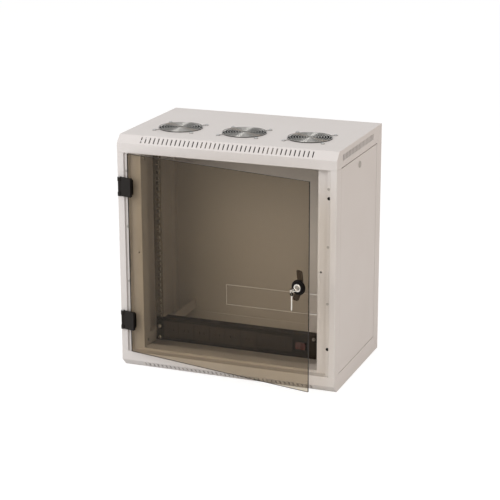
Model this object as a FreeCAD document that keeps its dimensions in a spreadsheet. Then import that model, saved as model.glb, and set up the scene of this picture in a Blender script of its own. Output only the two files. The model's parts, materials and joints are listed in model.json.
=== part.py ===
import FreeCAD, Part
import math
import os
import re
import Sketcher

# Wall-mounted network cabinet with a hinged glass door, roof fans and a rack-mounted power panel.
# Frame: X to the right, Y to the rear, Z up, origin at the middle of the base on the floor.
# Every piece is drawn with the door closed; the door pieces are then turned about the hinge line.

# Driving sizes, in millimetres and degrees
SIZES = {
    # Carcass
    "cabinet_width": 600,
    "cabinet_height": 635,
    "cabinet_depth": 380,
    "sheet_gauge": 1.5,
    "pan_height": 45,
    "front_bevel": 20,
    "rear_flange": 40,
    "seam_gap": 0.8,
    "panel_gap": 2,
    "panel_side_gap": 0.8,
    # Front posts, sill and header
    "post_strip": 18,
    "rebate_width": 9,
    "rebate_depth": 7.5,
    "recess_depth": 24,
    "opening_width": 487.5,
    "post_side": 35,
    "post_return": 38,
    "sill_height": 6,
    "sill_lap": 10,
    "handing_hole": 8,
    "handing_hole_spacing": 398,
    # Vents
    "slot_pitch": 12,
    "slot_width": 3,
    "slot_length": 18,
    "vent_margin": 66,
    "side_slot_width": 6,
    "side_slot_length": 16,
    "side_slot_drop": 21,
    "side_vent_margin": 60,
    "side_vent_shift": -15,
    # Rear panel
    "entry_width": 300,
    "entry_height": 60,
    "entry_level": 74,
    "entry_slit": 1,
    "entry_nib": 3,
    "wall_hole": 9,
    "wall_hole_across": 540,
    "wall_hole_up": 551,
    # Rack rails and the bars that carry them
    "rack_units": 12,
    "unit_height": 44.45,
    "hole_spacing": 465.1,
    "hole_first": 6.35,
    "hole_step": 15.875,
    "hole_size": 9.5,
    "rail_setback": 102,
    "rail_width": 22.3,
    "rail_depth": 30,
    "rail_gauge": 2,
    "rail_end": 2,
    "bar_gauge": 2,
    "bar_height": 30,
    "bar_inset": 17,
    "bar_foot": 28,
    "bolt_diameter": 5,
    "bolt_clearance": 0.4,
    "bolt_head": 9,
    "bolt_head_height": 2.4,
    "nut_height": 4,
    "bolt_tail": 1.5,
    # Power panel
    "panel_width": 482.6,
    "panel_units": 1.5,
    "panel_relief": 0.8,
    "panel_gauge": 2,
    "housing_width": 444,
    "housing_depth": 30,
    "housing_wall": 2,
    "housing_inset": 3,
    "outlet_count": 6,
    "outlet_pitch": 45,
    "outlet_size": 43,
    "outlet_depth": 20,
    "outlet_proud": 1.5,
    "outlet_start": 43,
    "outlet_slot_width": 2,
    "outlet_slot_height": 8,
    "outlet_slot_apart": 13,
    "outlet_slot_depth": 12,
    "surge_width": 98,
    "surge_height": 40,
    "surge_gap": 3,
    "rib_pitch": 5,
    "rib_groove": 2.2,
    "rib_depth": 1.8,
    "rib_margin": 4,
    "switch_width": 38,
    "switch_height": 26,
    "switch_wall": 3,
    "switch_gap": 6,
    "rocker_end_gap": 1.2,
    "rocker_side_gap": 0.5,
    "rocker_depth": 9,
    "rocker_heel": 8.9,
    "rocker_tilt": 7.5,
    "rocker_pin": 3,
    "rocker_pin_gap": 0.3,
    "rocker_fit": 0.05,
    "inlet_width": 30,
    "inlet_height": 24,
    "inlet_depth": 22,
    "inlet_wall": 3,
    "inlet_recess": 17,
    "inlet_blade": 10,
    "inlet_blade_height": 4,
    "inlet_blade_gauge": 2,
    "inlet_blade_pitch": 7,
    "inlet_set_in": 60,
    "rack_screw": 6,
    "rack_screw_head": 11,
    "rack_screw_head_height": 3.5,
    "rack_screw_length": 14,
    "cage_nut_width": 11.5,
    "cage_nut_height": 7,
    # Fans
    "fan_size": 119.5,
    "fan_height": 38,
    "fan_bore": 115,
    "fan_pitch": 180,
    "fan_setback": 141,
    "fan_hole_spacing": 105,
    "fan_roof_opening": 117,
    "fan_screw": 4,
    "fan_screw_head": 8,
    "fan_screw_head_height": 2.4,
    "fan_screw_clearance": 0.4,
    "fan_nut": 7,
    "fan_nut_height": 3.2,
    "fan_floor": 4,
    "strut_width": 6,
    "hub_diameter": 46,
    "hub_wall": 2.5,
    "hub_height": 26,
    "hub_top_gap": 3,
    "blade_count": 7,
    "blade_gap": 2.5,
    "blade_thickness": 1.8,
    "blade_twist": 17,
    "blade_height": 22,
    "shaft_diameter": 3,
    "shaft_fit": 0.05,
    "bearing_diameter": 8,
    "bearing_height": 17,
    "boss_gap": 0.4,
    "stator_diameter": 36,
    "stator_height": 12,
    "guard_wire": 1.8,
    "guard_gap": 0.3,
    "guard_weld": 0.36,
    "guard_rings": 8,
    "guard_first_ring": 9,
    "guard_ring_step": 7,
    "guard_lug": 11,
    "guard_head_gap": 0.3,
    "guard_lug_height": 1.2,
    # Side panels
    "panel_flange": 12,
    "tab_width": 30,
    "tab_drop": 12,
    "tab_gap": 0.4,
    "tab_margin": 40,
    "side_lock_drop": 22,
    "side_lock_face": 17,
    "side_lock_proud": 2,
    "side_lock_barrel": 12,
    "side_lock_fit": 0.05,
    "side_lock_slot": 2.5,
    "side_cam_gap": 2,
    "side_cam_width": 14,
    "side_cam_reach": 32,
    "side_cam_gauge": 2,
    # Door glass
    "glass_thickness": 5,
    "glass_setback": 0.5,
    "glass_side_gap": 2,
    "glass_hinge_gap": 11,
    "glass_end_gap": 1.5,
    "door_ajar": 12,
    "buffer_diameter": 7,
    "buffer_relief": 0.3,
    "buffer_spacing": 150,
    "buffer_rise": 73,
    # Hinges
    "hinge_spacing": 366,
    "hinge_height": 50,
    "hinge_axis_inset": 7.5,
    "hinge_axis_out": 5.5,
    "hinge_spine": 1,
    "hinge_ear": 10,
    "hinge_ear_radius": 5.25,
    "hinge_running_gap": 0.3,
    "pin_diameter": 4,
    "pin_fit": 0.05,
    "pin_head": 6.4,
    "pin_head_height": 1.6,
    "clip_start": 14,
    "clip_width": 30,
    "clip_front": 8,
    "clip_web": 4.4,
    "clip_plate_gauge": 3,
    "clip_plate_width": 13,
    "clip_plate_height": 40,
    "clip_plate_inset": 1.5,
    "clip_screw": 4,
    "clip_screw_head": 7.5,
    "clip_screw_head_height": 2.2,
    "clip_screw_spacing": 22,
    "clip_screw_bite": 4,
    "clip_glass_hole": 6,
    "hinge_bolt": 4,
    "hinge_bolt_head": 7,
    "hinge_bolt_head_height": 2.5,
    "hinge_bolt_bite": 3,
    # Lock
    "lock_inset": 27.5,
    "lock_hole": 19,
    "lock_barrel": 18,
    "lock_cup": 20,
    "lock_proud": 8,
    "lock_cup_depth": 6,
    "bezel_diameter": 39,
    "bezel_height": 5.5,
    "bezel_lip": 2.5,
    "bezel_step": 3,
    "bezel_fit": 0.1,
    "lock_nut_flats": 27,
    "lock_nut_height": 3.4,
    "plug_diameter": 13,
    "plug_fit": 0.05,
    "plug_proud": 0.4,
    "keyway_width": 9,
    "keyway_height": 2.4,
    "keyway_depth": 14,
    "cam_gauge": 2.5,
    "cam_width": 17,
    "cam_up": 40,
    "cam_down": 41,
    "cam_lean": 13,
    "cam_chamfer": 3.4,
    "cam_clearance": 0.8,
    "cam_boss": 8,
    "cam_screw_head": 11,
    "cam_screw_height": 2.2,
    "cam_slot_margin": 3,
    "cam_turned": 8,
    "strike_hole": 5.5,
    # Keys
    "key_gauge": 2,
    "key_blade_width": 8,
    "key_bow_width": 18,
    "key_reach": 25,
    "key_neck": 6,
    "key_hole": 7,
    "key_hole_end": 5,
    "ring_wire": 1.4,
    "ring_radius": 4.5,
    "ring_gap": 0.3,
    "spare_head_width": 9.5,
    "spare_head_height": 8.5,
    "spare_head_gauge": 2.6,
    "spare_head_rim": 1.6,
    "spare_eye": 4,
    "spare_blade_width": 3.4,
    "spare_blade_gauge": 1.4,
    "spare_blade_length": 37.5,
    "spare_blade_bevel": 1.2,
    "spare_tang": 3,
}

# Places worked out from the driving sizes
PLACES = {
    "front": "-cabinet_depth / 2",
    "rear": "cabinet_depth / 2",
    "side": "cabinet_width / 2",
    "middle": "cabinet_height / 2",
    "lip_low": "cabinet_height - pan_height",
    "back_face": "rear - sheet_gauge",
    "flange_front": "back_face - rear_flange",
    "bevel_mitre": "sheet_gauge * (sqrt(2) - 1)",
    "roof_under": "cabinet_height - sheet_gauge",
    "strip_edge": "side - post_strip",
    "rebate_edge": "strip_edge - rebate_width",
    "opening_edge": "opening_width / 2",
    "rebate_face": "front + rebate_depth",
    "recess_face": "front + recess_depth",
    "post_end": "recess_face + post_return",
    "slot_run": "slot_length / 2 / sqrt(2)",
    "slot_reach": "sheet_gauge * 2",
    "vent_count": "floor((cabinet_width - 2 * vent_margin) / slot_pitch) + 1",
    "vent_span": "(vent_count - 1) * slot_pitch",
    "side_vent_count": "floor((cabinet_depth - 2 * side_vent_margin) / slot_pitch) + 1",
    "side_vent_span": "(side_vent_count - 1) * slot_pitch",
    "bar_inner": "opening_edge + sheet_gauge",
    "bar_outer": "bar_inner + bar_gauge",
    "bar_front": "recess_face + sheet_gauge + bar_gauge",
    "post_bolt_line": "(bar_front + post_end) / 2",
    "rack_height": "rack_units * unit_height",
    "rack_bottom": "(cabinet_height - rack_height) / 2",
    "rack_top": "rack_bottom + rack_height",
    "bar_low": "rack_bottom + bar_inset",
    "bar_high": "rack_top - bar_inset",
    "rail_face": "front + rail_setback",
    "rail_inner": "bar_inner - rail_width",
    "rail_bolt_line": "rail_face + rail_depth / 2 + rail_gauge / 2",
    "rail_pad": "bar_inner - rail_gauge",
    "foot_bolt_line": "bar_outer + (bar_foot - bar_gauge) / 2",
    "hole_line": "hole_spacing / 2",
    "panel_top": "rack_bottom + panel_units * unit_height - panel_relief",
    "panel_middle": "(rack_bottom + panel_top) / 2",
    "panel_face": "rail_face - panel_gauge",
    "housing_low": "rack_bottom + housing_inset",
    "housing_high": "panel_top - housing_inset",
    "housing_rear": "rail_face + housing_depth",
    "outlet_first": "-panel_width / 2 + outlet_start",
    "outlet_face": "panel_face - outlet_proud",
    "outlet_back": "panel_face + outlet_depth",
    "surge_left": "outlet_first + (outlet_count - 1) * outlet_pitch + outlet_size / 2 + surge_gap",
    "surge_right": "surge_left + surge_width",
    "rib_count": "floor((surge_width - 2 * rib_margin) / rib_pitch) + 1",
    "rib_span": "(rib_count - 1) * rib_pitch",
    "switch_left": "surge_right + switch_gap",
    "switch_right": "switch_left + switch_width",
    "switch_middle": "(switch_left + switch_right) / 2",
    "rocker_half": "switch_width / 2 - switch_wall - rocker_end_gap",
    "rocker_half_height": "switch_height / 2 - switch_wall - rocker_side_gap",
    "rocker_lift": "rocker_half * tan(rocker_tilt)",
    "rocker_pivot": "panel_face + rocker_depth / 2",
    "inlet_middle": "housing_width / 2 - inlet_set_in",
    "inlet_mouth": "housing_rear + inlet_depth",
    "inlet_floor": "inlet_mouth - inlet_recess",
    "fan_line": "front + fan_setback",
    "fan_low": "roof_under - fan_height",
    "fan_corner": "fan_hole_spacing / 2",
    "hub_high": "roof_under - hub_top_gap",
    "hub_low": "hub_high - hub_height",
    "blade_high": "hub_high - hub_wall",
    "blade_low": "blade_high - blade_height",
    "blade_tip": "fan_bore / 2 - blade_gap",
    "bearing_top": "fan_low + fan_floor + bearing_height",
    "guard_spoke": "cabinet_height + guard_wire / 2 + guard_gap",
    "guard_level": "guard_spoke + guard_wire - guard_weld",
    "guard_lug_radius": "fan_corner * sqrt(2)",
    "lug_top": "cabinet_height + guard_lug_height",
    "panel_front": "front + post_side + panel_side_gap",
    "panel_rear": "flange_front - panel_side_gap",
    "panel_low": "pan_height + panel_gap",
    "panel_high": "lip_low - panel_gap",
    "panel_centre": "(panel_front + panel_rear) / 2",
    "panel_inner": "side - sheet_gauge",
    "tab_outer": "panel_inner - tab_gap",
    "tab_inner": "tab_outer - sheet_gauge",
    "side_lock_level": "panel_high - side_lock_drop",
    "side_cam_outer": "side - panel_flange - side_cam_gap",
    "side_cam_inner": "side_cam_outer - side_cam_gauge",
    "glass_front": "front + glass_setback",
    "glass_back": "glass_front + glass_thickness",
    "glass_edge": "strip_edge - glass_side_gap",
    "glass_hinge_edge": "glass_hinge_gap - strip_edge",
    "glass_low": "pan_height + glass_end_gap",
    "glass_high": "lip_low - glass_end_gap",
    "hinge_line": "hinge_axis_inset - side",
    "hinge_front": "front - hinge_axis_out",
    "clip_left": "clip_start - side",
    "clip_right": "clip_left + clip_width",
    "clip_face": "front - clip_front",
    "knuckle_radius": "hinge_axis_out - hinge_spine - hinge_running_gap",
    "clip_screw_line": "clip_right - clip_plate_inset - clip_plate_width / 2",
    "lock_line": "glass_edge - lock_inset",
    "lock_face": "front - lock_proud",
    "lock_shoulder": "lock_face + lock_cup_depth",
    "bezel_face": "glass_front - bezel_height",
    "lock_nut_back": "glass_back + lock_nut_height",
    "cam_front": "rebate_face + sheet_gauge + cam_clearance",
    "cam_back": "cam_front + cam_gauge",
    "plug_face": "lock_face - plug_proud",
    "key_end": "plug_face - key_reach",
    "key_hole_line": "key_end + key_hole_end",
    "key_eye": "key_end + (key_hole_end - key_hole / 2) / 2",
    "ring_level": "middle + key_gauge / 2 + ring_gap + ring_wire / 2 - ring_radius",
    "spare_eye_level": "ring_level - ring_radius + ring_wire / 2 + ring_gap - spare_eye / 2",
    "spare_top": "spare_eye_level + spare_eye / 2 + spare_head_rim",
    "spare_shoulder": "spare_top - spare_head_height",
}

doc = FreeCAD.newDocument("rack_cabinet")


def linked(text, own_sheet=False):
    """Turn each named value in an expression into a reference to its cell."""
    def cell(match):
        word = match.group(0)
        if word in SIZES:
            return "Sizes." + word
        if word in PLACES and not own_sheet:
            return "Places." + word
        return word
    return re.sub(r"[a-z][a-z_]*", cell, str(text))


def add_sheet(name, cells):
    """Make a spreadsheet with one alias for each row."""
    sheet = doc.addObject("Spreadsheet::Sheet", name)
    for row, (alias, content) in enumerate(cells.items(), start=1):
        sheet.set(f"A{row}", alias)
        sheet.set(f"B{row}", content)
        sheet.setAlias(f"B{row}", alias)
    return sheet


sizes = add_sheet("Sizes", {alias: str(number) for alias, number in SIZES.items()})
places = add_sheet("Places", {alias: "=" + linked(rule, True) for alias, rule in PLACES.items()})
doc.recompute()


def new_body(label):
    """Start a sub-part."""
    body = doc.addObject("PartDesign::Body", label)
    body.Label = label
    return body


def draw(body, name, plane, loops, offset="0"):
    """Draw closed loops: a list of (x, y) points is a polygon and a tuple (x, y, diameter) a circle."""
    sketch = body.newObject("Sketcher::SketchObject", f"{body.Name}_{name}_sketch")
    support = [feature for feature in body.Origin.OriginFeatures if feature.Role == f"{plane}_Plane"]
    sketch.AttachmentSupport = (support[0], [""])
    sketch.MapMode = "FlatFace"
    sketch.setExpression("AttachmentOffset.Base.z", linked(offset))

    def pin(kind, *where):
        """Add one dimension and bind it to its expression, the last argument."""
        number = sketch.addConstraint(Sketcher.Constraint(kind, *where[:-1]))
        sketch.setExpression(f"Constraints[{number}]", linked(where[-1]))

    for loop in loops:
        if isinstance(loop, tuple):
            across, up, diameter = loop
            circle = sketch.addGeometry(Part.Circle(FreeCAD.Vector(), FreeCAD.Vector(0, 0, 1), 1.0), False)
            pin("DistanceX", circle, 3, 0.0, across)
            pin("DistanceY", circle, 3, 0.0, up)
            pin("Diameter", circle, 2.0, diameter)
            continue
        count = len(loop)
        turns = [2 * math.pi * step / count for step in range(count)]
        starts = [FreeCAD.Vector(math.cos(turn), math.sin(turn), 0) for turn in turns]
        lines = []
        for step in range(count):
            line = Part.LineSegment(starts[step], starts[(step + 1) % count])
            lines.append(sketch.addGeometry(line, False))
        for step in range(count):
            joined = Sketcher.Constraint("Coincident", lines[step], 2, lines[(step + 1) % count], 1)
            sketch.addConstraint(joined)
        for step, (across, up) in enumerate(loop):
            pin("DistanceX", lines[step], 1, starts[step].x, across)
            pin("DistanceY", lines[step], 1, starts[step].y, up)
    return sketch


def extrude(body, kind, name, plane, loops, low, high):
    """Extrude loops between two places along the plane's row axis."""
    along_row = plane != "XZ"
    pad = kind == "Pad"
    start = low if pad == along_row else high
    sketch = draw(body, name, plane, loops, start if along_row else f"-({start})")
    feature = body.newObject(f"PartDesign::{kind}", f"{body.Name}_{name}")
    feature.Profile = sketch
    feature.setExpression("Length", linked(f"({high}) - ({low})"))
    return feature


def add(body, name, plane, loops, low, high):
    """Add a prism to a body."""
    return extrude(body, "Pad", name, plane, loops, low, high)


def cut(body, name, plane, loops, low, high):
    """Cut a prism out of a body."""
    return extrude(body, "Pocket", name, plane, loops, low, high)


def repeat(body, feature, axis, length, count):
    """Repeat a feature in a row along one axis of its sketch."""
    pattern = body.newObject("PartDesign::LinearPattern", feature.Name + "_row")
    pattern.Originals = [feature]
    pattern.Direction = (feature.Profile[0], [axis])
    pattern.setExpression("Length", linked(length))
    pattern.setExpression("Occurrences", linked(count))
    body.Tip = pattern
    return pattern


def rectangle(low_x, high_x, low_y, high_y):
    """Give the corners of a rectangle."""
    return [(low_x, low_y), (high_x, low_y), (high_x, high_y), (low_x, high_y)]


def around(x, y, width, height):
    """Give the corners of a rectangle round a point."""
    across = (f"{x} - ({width}) / 2", f"{x} + ({width}) / 2")
    return rectangle(*across, f"{y} - ({height}) / 2", f"{y} + ({height}) / 2")


def mirrored(hand, points):
    """Mirror points of an outline drawn for the right-hand side."""
    return [(f"{hand} * ({x})", y) for x, y in points]


def span(hand, low, high):
    """Give the low and high end of a stretch drawn for the right-hand side."""
    if hand > 0:
        return low, high
    return f"-({high})", f"-({low})"


def rod(name, direction, at, diameter, low, high):
    """Make a round bar along one row axis; at holds its other two coordinates in X, Y, Z order."""
    bar = doc.addObject("Part::Cylinder", name)
    turns = {
        "x": FreeCAD.Rotation(FreeCAD.Vector(0, 1, 0), 90),
        "y": FreeCAD.Rotation(FreeCAD.Vector(1, 0, 0), -90),
        "z": FreeCAD.Rotation(),
    }
    bar.Placement = FreeCAD.Placement(FreeCAD.Vector(), turns[direction])
    bar.setExpression("Radius", linked(f"({diameter}) / 2"))
    bar.setExpression("Height", linked(f"({high}) - ({low})"))
    coordinates = list(at)
    coordinates.insert("xyz".index(direction), low)
    for letter, place in zip("xyz", coordinates):
        bar.setExpression(f"Placement.Base.{letter}", linked(place))
    return bar


def fuse(name, pieces):
    """Join touching pieces into one solid."""
    joined = doc.addObject("Part::MultiFuse", name)
    joined.Shapes = pieces
    return joined


def group(label, pieces):
    """Keep like pieces as separate solids of one sub-part."""
    held = doc.addObject("Part::Compound", label)
    held.Label = label
    held.Links = pieces
    return held


def bored(name, piece, tool):
    """Take a tool's shape out of a piece."""
    result = doc.addObject("Part::Cut", name)
    result.Base = piece
    result.Tool = tool
    return result


def headed(name, direction, at, head, shank, head_span, shank_span):
    """Make a screw, bolt or rivet: a head and a shank in line."""
    parts = [
        rod(f"{name}_head", direction, at, head, *head_span),
        rod(f"{name}_shank", direction, at, shank, *shank_span),
    ]
    return fuse(name, parts)


def make_pan(label, level):
    """Fold the base or roof tray; level turns a height above its flat face into a height of the cabinet."""
    body = new_body(label)
    outline = [
        ("front + front_bevel", level("0")),
        ("back_face - seam_gap", level("0")),
        ("flange_front - seam_gap", level("pan_height")),
        ("front", level("pan_height")),
        ("front", level("front_bevel")),
    ]
    add(body, "outside", "YZ", [outline], "-side", "side")
    hollow = [
        ("front + front_bevel + bevel_mitre", level("sheet_gauge")),
        ("rear", level("sheet_gauge")),
        ("rear", level("pan_height * 2")),
        ("front + sheet_gauge", level("pan_height * 2")),
        ("front + sheet_gauge", level("front_bevel + bevel_mitre")),
    ]
    cut(body, "inside", "YZ", [hollow], "sheet_gauge - side", "side - sheet_gauge")
    ledge = rectangle("front", "recess_face", level("pan_height - sheet_gauge"), level("pan_height"))
    add(body, "ledge", "YZ", [ledge], "sheet_gauge / 2 - side", "side - sheet_gauge / 2")
    upstand = rectangle("back_face - sheet_gauge", "back_face", level("0"), level("pan_height"))
    add(body, "upstand", "YZ", [upstand], "sheet_gauge * 2 - side", "side - sheet_gauge * 2")
    centre = ("front + front_bevel / 2", "front_bevel / 2")
    slot = []
    for run, reach in ((-1, -1), (1, -1), (1, 1), (-1, 1)):
        across = f"{centre[0]} + {run} * slot_run + {reach} * slot_reach"
        rise = f"{centre[1]} - {run} * slot_run + {reach} * slot_reach"
        slot.append((across, level(rise)))
    vent = cut(body, "vent", "YZ", [slot], "-(vent_span + slot_width) / 2", "(slot_width - vent_span) / 2")
    repeat(body, vent, "N_Axis", "vent_span", "vent_count")
    return body


def make_base():
    """Fold the base tray."""
    return make_pan("base_pan", lambda rise: rise)


def make_roof():
    """Fold the roof tray with its side vents and three fan openings."""
    body = make_pan("roof_pan", lambda rise: f"cabinet_height - ({rise})")
    first = "side_vent_shift - side_vent_span / 2"
    slot = around(first, "cabinet_height - side_slot_drop", "side_slot_width", "side_slot_length")
    vent = cut(body, "side_vent", "YZ", [slot], "-side - sheet_gauge", "side + sheet_gauge")
    repeat(body, vent, "H_Axis", "side_vent_span", "side_vent_count")
    holes = [("-fan_pitch", "fan_line", "fan_roof_opening")]
    for across in (-1, 1):
        for deep in (-1, 1):
            place = (f"{across} * fan_corner - fan_pitch", f"fan_line + {deep} * fan_corner")
            holes.append((*place, "fan_screw + fan_screw_clearance"))
    high = "cabinet_height + sheet_gauge"
    opening = cut(body, "fan_opening", "XY", holes, "roof_under - sheet_gauge", high)
    repeat(body, opening, "H_Axis", "2 * fan_pitch", "3")
    return body


def make_rear_panel():
    """Fold the rear panel: a full-height back with side flanges mitred to the trays."""
    body = new_body("rear_panel")
    outline = [
        ("rear", "0"),
        ("rear", "cabinet_height"),
        ("back_face", "cabinet_height"),
        ("flange_front", "lip_low"),
        ("flange_front", "pan_height"),
        ("back_face", "0"),
    ]
    add(body, "outside", "YZ", [outline], "-side", "side")
    top = "cabinet_height + pan_height"
    hollow = rectangle("flange_front - rear_flange", "back_face", "-pan_height", top)
    cut(body, "inside", "YZ", [hollow], "sheet_gauge - side", "side - sheet_gauge")
    entry = rectangle("-entry_width / 2", "entry_width / 2", "entry_level", "entry_level + entry_height")
    holes = [entry]
    for hand in (-1, 1):
        for deep in (-1, 1):
            wall_level = f"middle + {deep} * wall_hole_up / 2"
            holes.append((f"{hand} * wall_hole_across / 2", wall_level, "wall_hole"))
            level = "bar_low" if deep < 0 else "bar_high"
            holes.append((f"{hand} * foot_bolt_line", level, "bolt_diameter"))
    cut(body, "holes", "XZ", holes, "back_face - sheet_gauge", "rear + sheet_gauge")
    return body


def make_entry_plate():
    """Punch the cable-entry plate, held in its slit by four nibs."""
    body = new_body("cable_entry_plate")
    plate = rectangle(
        "entry_slit - entry_width / 2",
        "entry_width / 2 - entry_slit",
        "entry_level + entry_slit",
        "entry_level + entry_height - entry_slit",
    )
    add(body, "plate", "XZ", [plate], "back_face", "rear")
    for name, across in (("left", "-entry_width / 4"), ("right", "entry_width / 4")):
        nib = rectangle(
            f"{across} - entry_nib / 2",
            f"{across} + entry_nib / 2",
            "entry_level",
            "entry_level + entry_height",
        )
        add(body, f"{name}_nibs", "XZ", [nib], "back_face", "rear")
    return body


def make_post(label, hand):
    """Fold one front post: outer strip, glass rebate, deeper recess and return flange."""
    body = new_body(label)
    outside = [
        ("side", "front + post_side"),
        ("side", "front"),
        ("strip_edge", "front"),
        ("strip_edge", "rebate_face"),
        ("rebate_edge", "rebate_face"),
        ("rebate_edge", "recess_face"),
        ("opening_edge", "recess_face"),
        ("opening_edge", "post_end"),
    ]
    inside = [
        ("opening_edge + sheet_gauge", "post_end"),
        ("opening_edge + sheet_gauge", "recess_face + sheet_gauge"),
        ("rebate_edge + sheet_gauge", "recess_face + sheet_gauge"),
        ("rebate_edge + sheet_gauge", "rebate_face + sheet_gauge"),
        ("strip_edge + sheet_gauge", "rebate_face + sheet_gauge"),
        ("strip_edge + sheet_gauge", "front + sheet_gauge"),
        ("side - sheet_gauge", "front + sheet_gauge"),
        ("side - sheet_gauge", "front + post_side"),
    ]
    add(body, "fold", "XY", [mirrored(hand, outside + inside)], "pan_height", "lip_low")
    slot = rectangle(
        "rebate_face + sheet_gauge",
        "cam_back + cam_clearance",
        "middle - cam_up - cam_slot_margin",
        "middle + cam_up + cam_slot_margin",
    )
    wall = span(hand, "rebate_edge - sheet_gauge", "rebate_edge + sheet_gauge * 2")
    cut(body, "cam_slot", "YZ", [slot], *wall)
    strike = (f"{hand} * lock_line", "middle", "strike_hole")
    cut(body, "strike", "XZ", [strike], "recess_face - sheet_gauge", "recess_face + sheet_gauge * 2")
    handing = []
    for up in (-1, 1):
        across = f"{hand} * (rebate_edge + strip_edge) / 2"
        handing.append((across, f"middle + {up} * handing_hole_spacing / 2", "handing_hole"))
    cut(body, "handing_holes", "XZ", handing, "rebate_face - sheet_gauge", "rebate_face + sheet_gauge * 2")
    bolts = [("post_bolt_line", level, "bolt_diameter + bolt_clearance") for level in ("bar_low", "bar_high")]
    wall = span(hand, "opening_edge - sheet_gauge", "opening_edge + sheet_gauge * 2")
    cut(body, "bar_holes", "YZ", bolts, *wall)
    if hand < 0:
        holes = []
        for _, level in hinge_levels():
            for bolt in hinge_bolt_levels(level):
                holes.append(("hinge_line", bolt, "hinge_bolt + bolt_clearance"))
        cut(body, "hinge_holes", "XZ", holes, "front - sheet_gauge", "front + sheet_gauge * 2")
    return body


def make_cross_rail(label, level):
    """Fold the sill or header that closes the recess between the posts."""
    body = new_body(label)
    outline = [
        ("recess_face", level("pan_height - sill_lap")),
        ("recess_face", level("pan_height + sill_height")),
        ("post_end", level("pan_height + sill_height")),
        ("post_end", level("pan_height + sill_height - sheet_gauge")),
        ("recess_face + sheet_gauge", level("pan_height + sill_height - sheet_gauge")),
        ("recess_face + sheet_gauge", level("pan_height - sill_lap")),
    ]
    add(body, "fold", "YZ", [outline], "-opening_edge", "opening_edge")
    return body


def make_bar(label, hand, level):
    """Bend one depth bar, with a foot on the rear panel."""
    body = new_body(label)
    outline = [
        ("bar_inner", "bar_front"),
        ("bar_outer", "bar_front"),
        ("bar_outer", "back_face - bar_gauge"),
        ("bar_inner + bar_foot", "back_face - bar_gauge"),
        ("bar_inner + bar_foot", "back_face"),
        ("bar_inner", "back_face"),
    ]
    low = f"{level} - bar_height / 2"
    high = f"{level} + bar_height / 2"
    add(body, "bend", "XY", [mirrored(hand, outline)], low, high)
    holes = [(line, level, "bolt_diameter + bolt_clearance") for line in ("post_bolt_line", "rail_bolt_line")]
    cut(body, "holes", "YZ", holes, *span(hand, "bar_inner - bar_gauge", "bar_outer + bar_gauge"))
    foot = (f"{hand} * foot_bolt_line", level, "bolt_diameter")
    cut(body, "foot_hole", "XZ", [foot], "back_face - bar_gauge * 2", "back_face + bar_gauge")
    return body


def make_rail(label, hand):
    """Fold one rack rail with square holes at the standard rack spacing."""
    body = new_body(label)
    outline = [
        ("rail_inner", "rail_face"),
        ("bar_inner", "rail_face"),
        ("bar_inner", "rail_face + rail_depth"),
        ("rail_pad", "rail_face + rail_depth"),
        ("rail_pad", "rail_face + rail_gauge"),
        ("rail_inner", "rail_face + rail_gauge"),
    ]
    add(body, "fold", "XY", [mirrored(hand, outline)], "rack_bottom - rail_end", "rack_top + rail_end")
    squares = []
    for step in range(3):
        level = f"rack_bottom + hole_first + {step} * hole_step"
        squares.append(around(f"{hand} * hole_line", level, "hole_size", "hole_size"))
    unit = cut(body, "unit", "XZ", squares, "rail_face - rail_gauge", "rail_face + rail_gauge * 2")
    repeat(body, unit, "V_Axis", "(rack_units - 1) * unit_height", "rack_units")
    bolts = [("rail_bolt_line", level, "bolt_diameter + bolt_clearance") for level in ("bar_low", "bar_high")]
    cut(body, "bolt_holes", "YZ", bolts, *span(hand, "rail_pad - rail_gauge", "bar_inner + rail_gauge"))
    return body


def make_frame_bolts():
    """Make the bolts that hold the bars to the posts and the rails to the bars."""
    bolts = []
    nuts = []
    for side_name, hand in (("left", -1), ("right", 1)):
        for height, level in (("low", "bar_low"), ("high", "bar_high")):
            seats = (("post", "post_bolt_line", "opening_edge"), ("rail", "rail_bolt_line", "rail_pad"))
            for seat, line, face in seats:
                name = f"{seat}_bolt_{side_name}_{height}"
                head = span(hand, f"{face} - bolt_head_height", face)
                shank = span(hand, face, "bar_outer + nut_height + bolt_tail")
                bolts.append(headed(name, "x", (line, level), "bolt_head", "bolt_diameter", head, shank))
                ends = span(hand, "bar_outer", "bar_outer + nut_height")
                nut = rod(f"{name}_nut_blank", "x", (line, level), "bolt_head", *ends)
                hole = rod(f"{name}_nut_hole", "x", (line, level), "bolt_diameter", *ends)
                nuts.append(bored(f"{name}_nut", nut, hole))
    return [group("frame_bolts", bolts), group("frame_nuts", nuts)]


def make_bar_rivets():
    """Make the rivets that hold the bars' feet to the rear panel, flush with its back."""
    rivets = []
    for side_name, hand in (("left", -1), ("right", 1)):
        for height, level in (("low", "bar_low"), ("high", "bar_high")):
            seat = "back_face - bar_gauge"
            at = (f"{hand} * foot_bolt_line", level)
            name = f"bar_rivet_{side_name}_{height}"
            head = (f"{seat} - bolt_head_height", seat)
            rivets.append(headed(name, "y", at, "bolt_head", "bolt_diameter", head, (seat, "rear")))
    return group("bar_rivets", rivets)


def panel_screw_places():
    """Give the places of the screws that hold the power panel to the rails."""
    places_found = []
    for side_name, hand in (("left", -1), ("right", 1)):
        for height, steps in (("low", 0), ("high", 2)):
            level = f"rack_bottom + hole_first + {steps} * hole_step"
            places_found.append((f"{side_name}_{height}", f"{hand} * hole_line", level))
    return places_found


def outlet_centre(number):
    """Give the place of one outlet along the panel."""
    return f"outlet_first + {number} * outlet_pitch"


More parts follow.
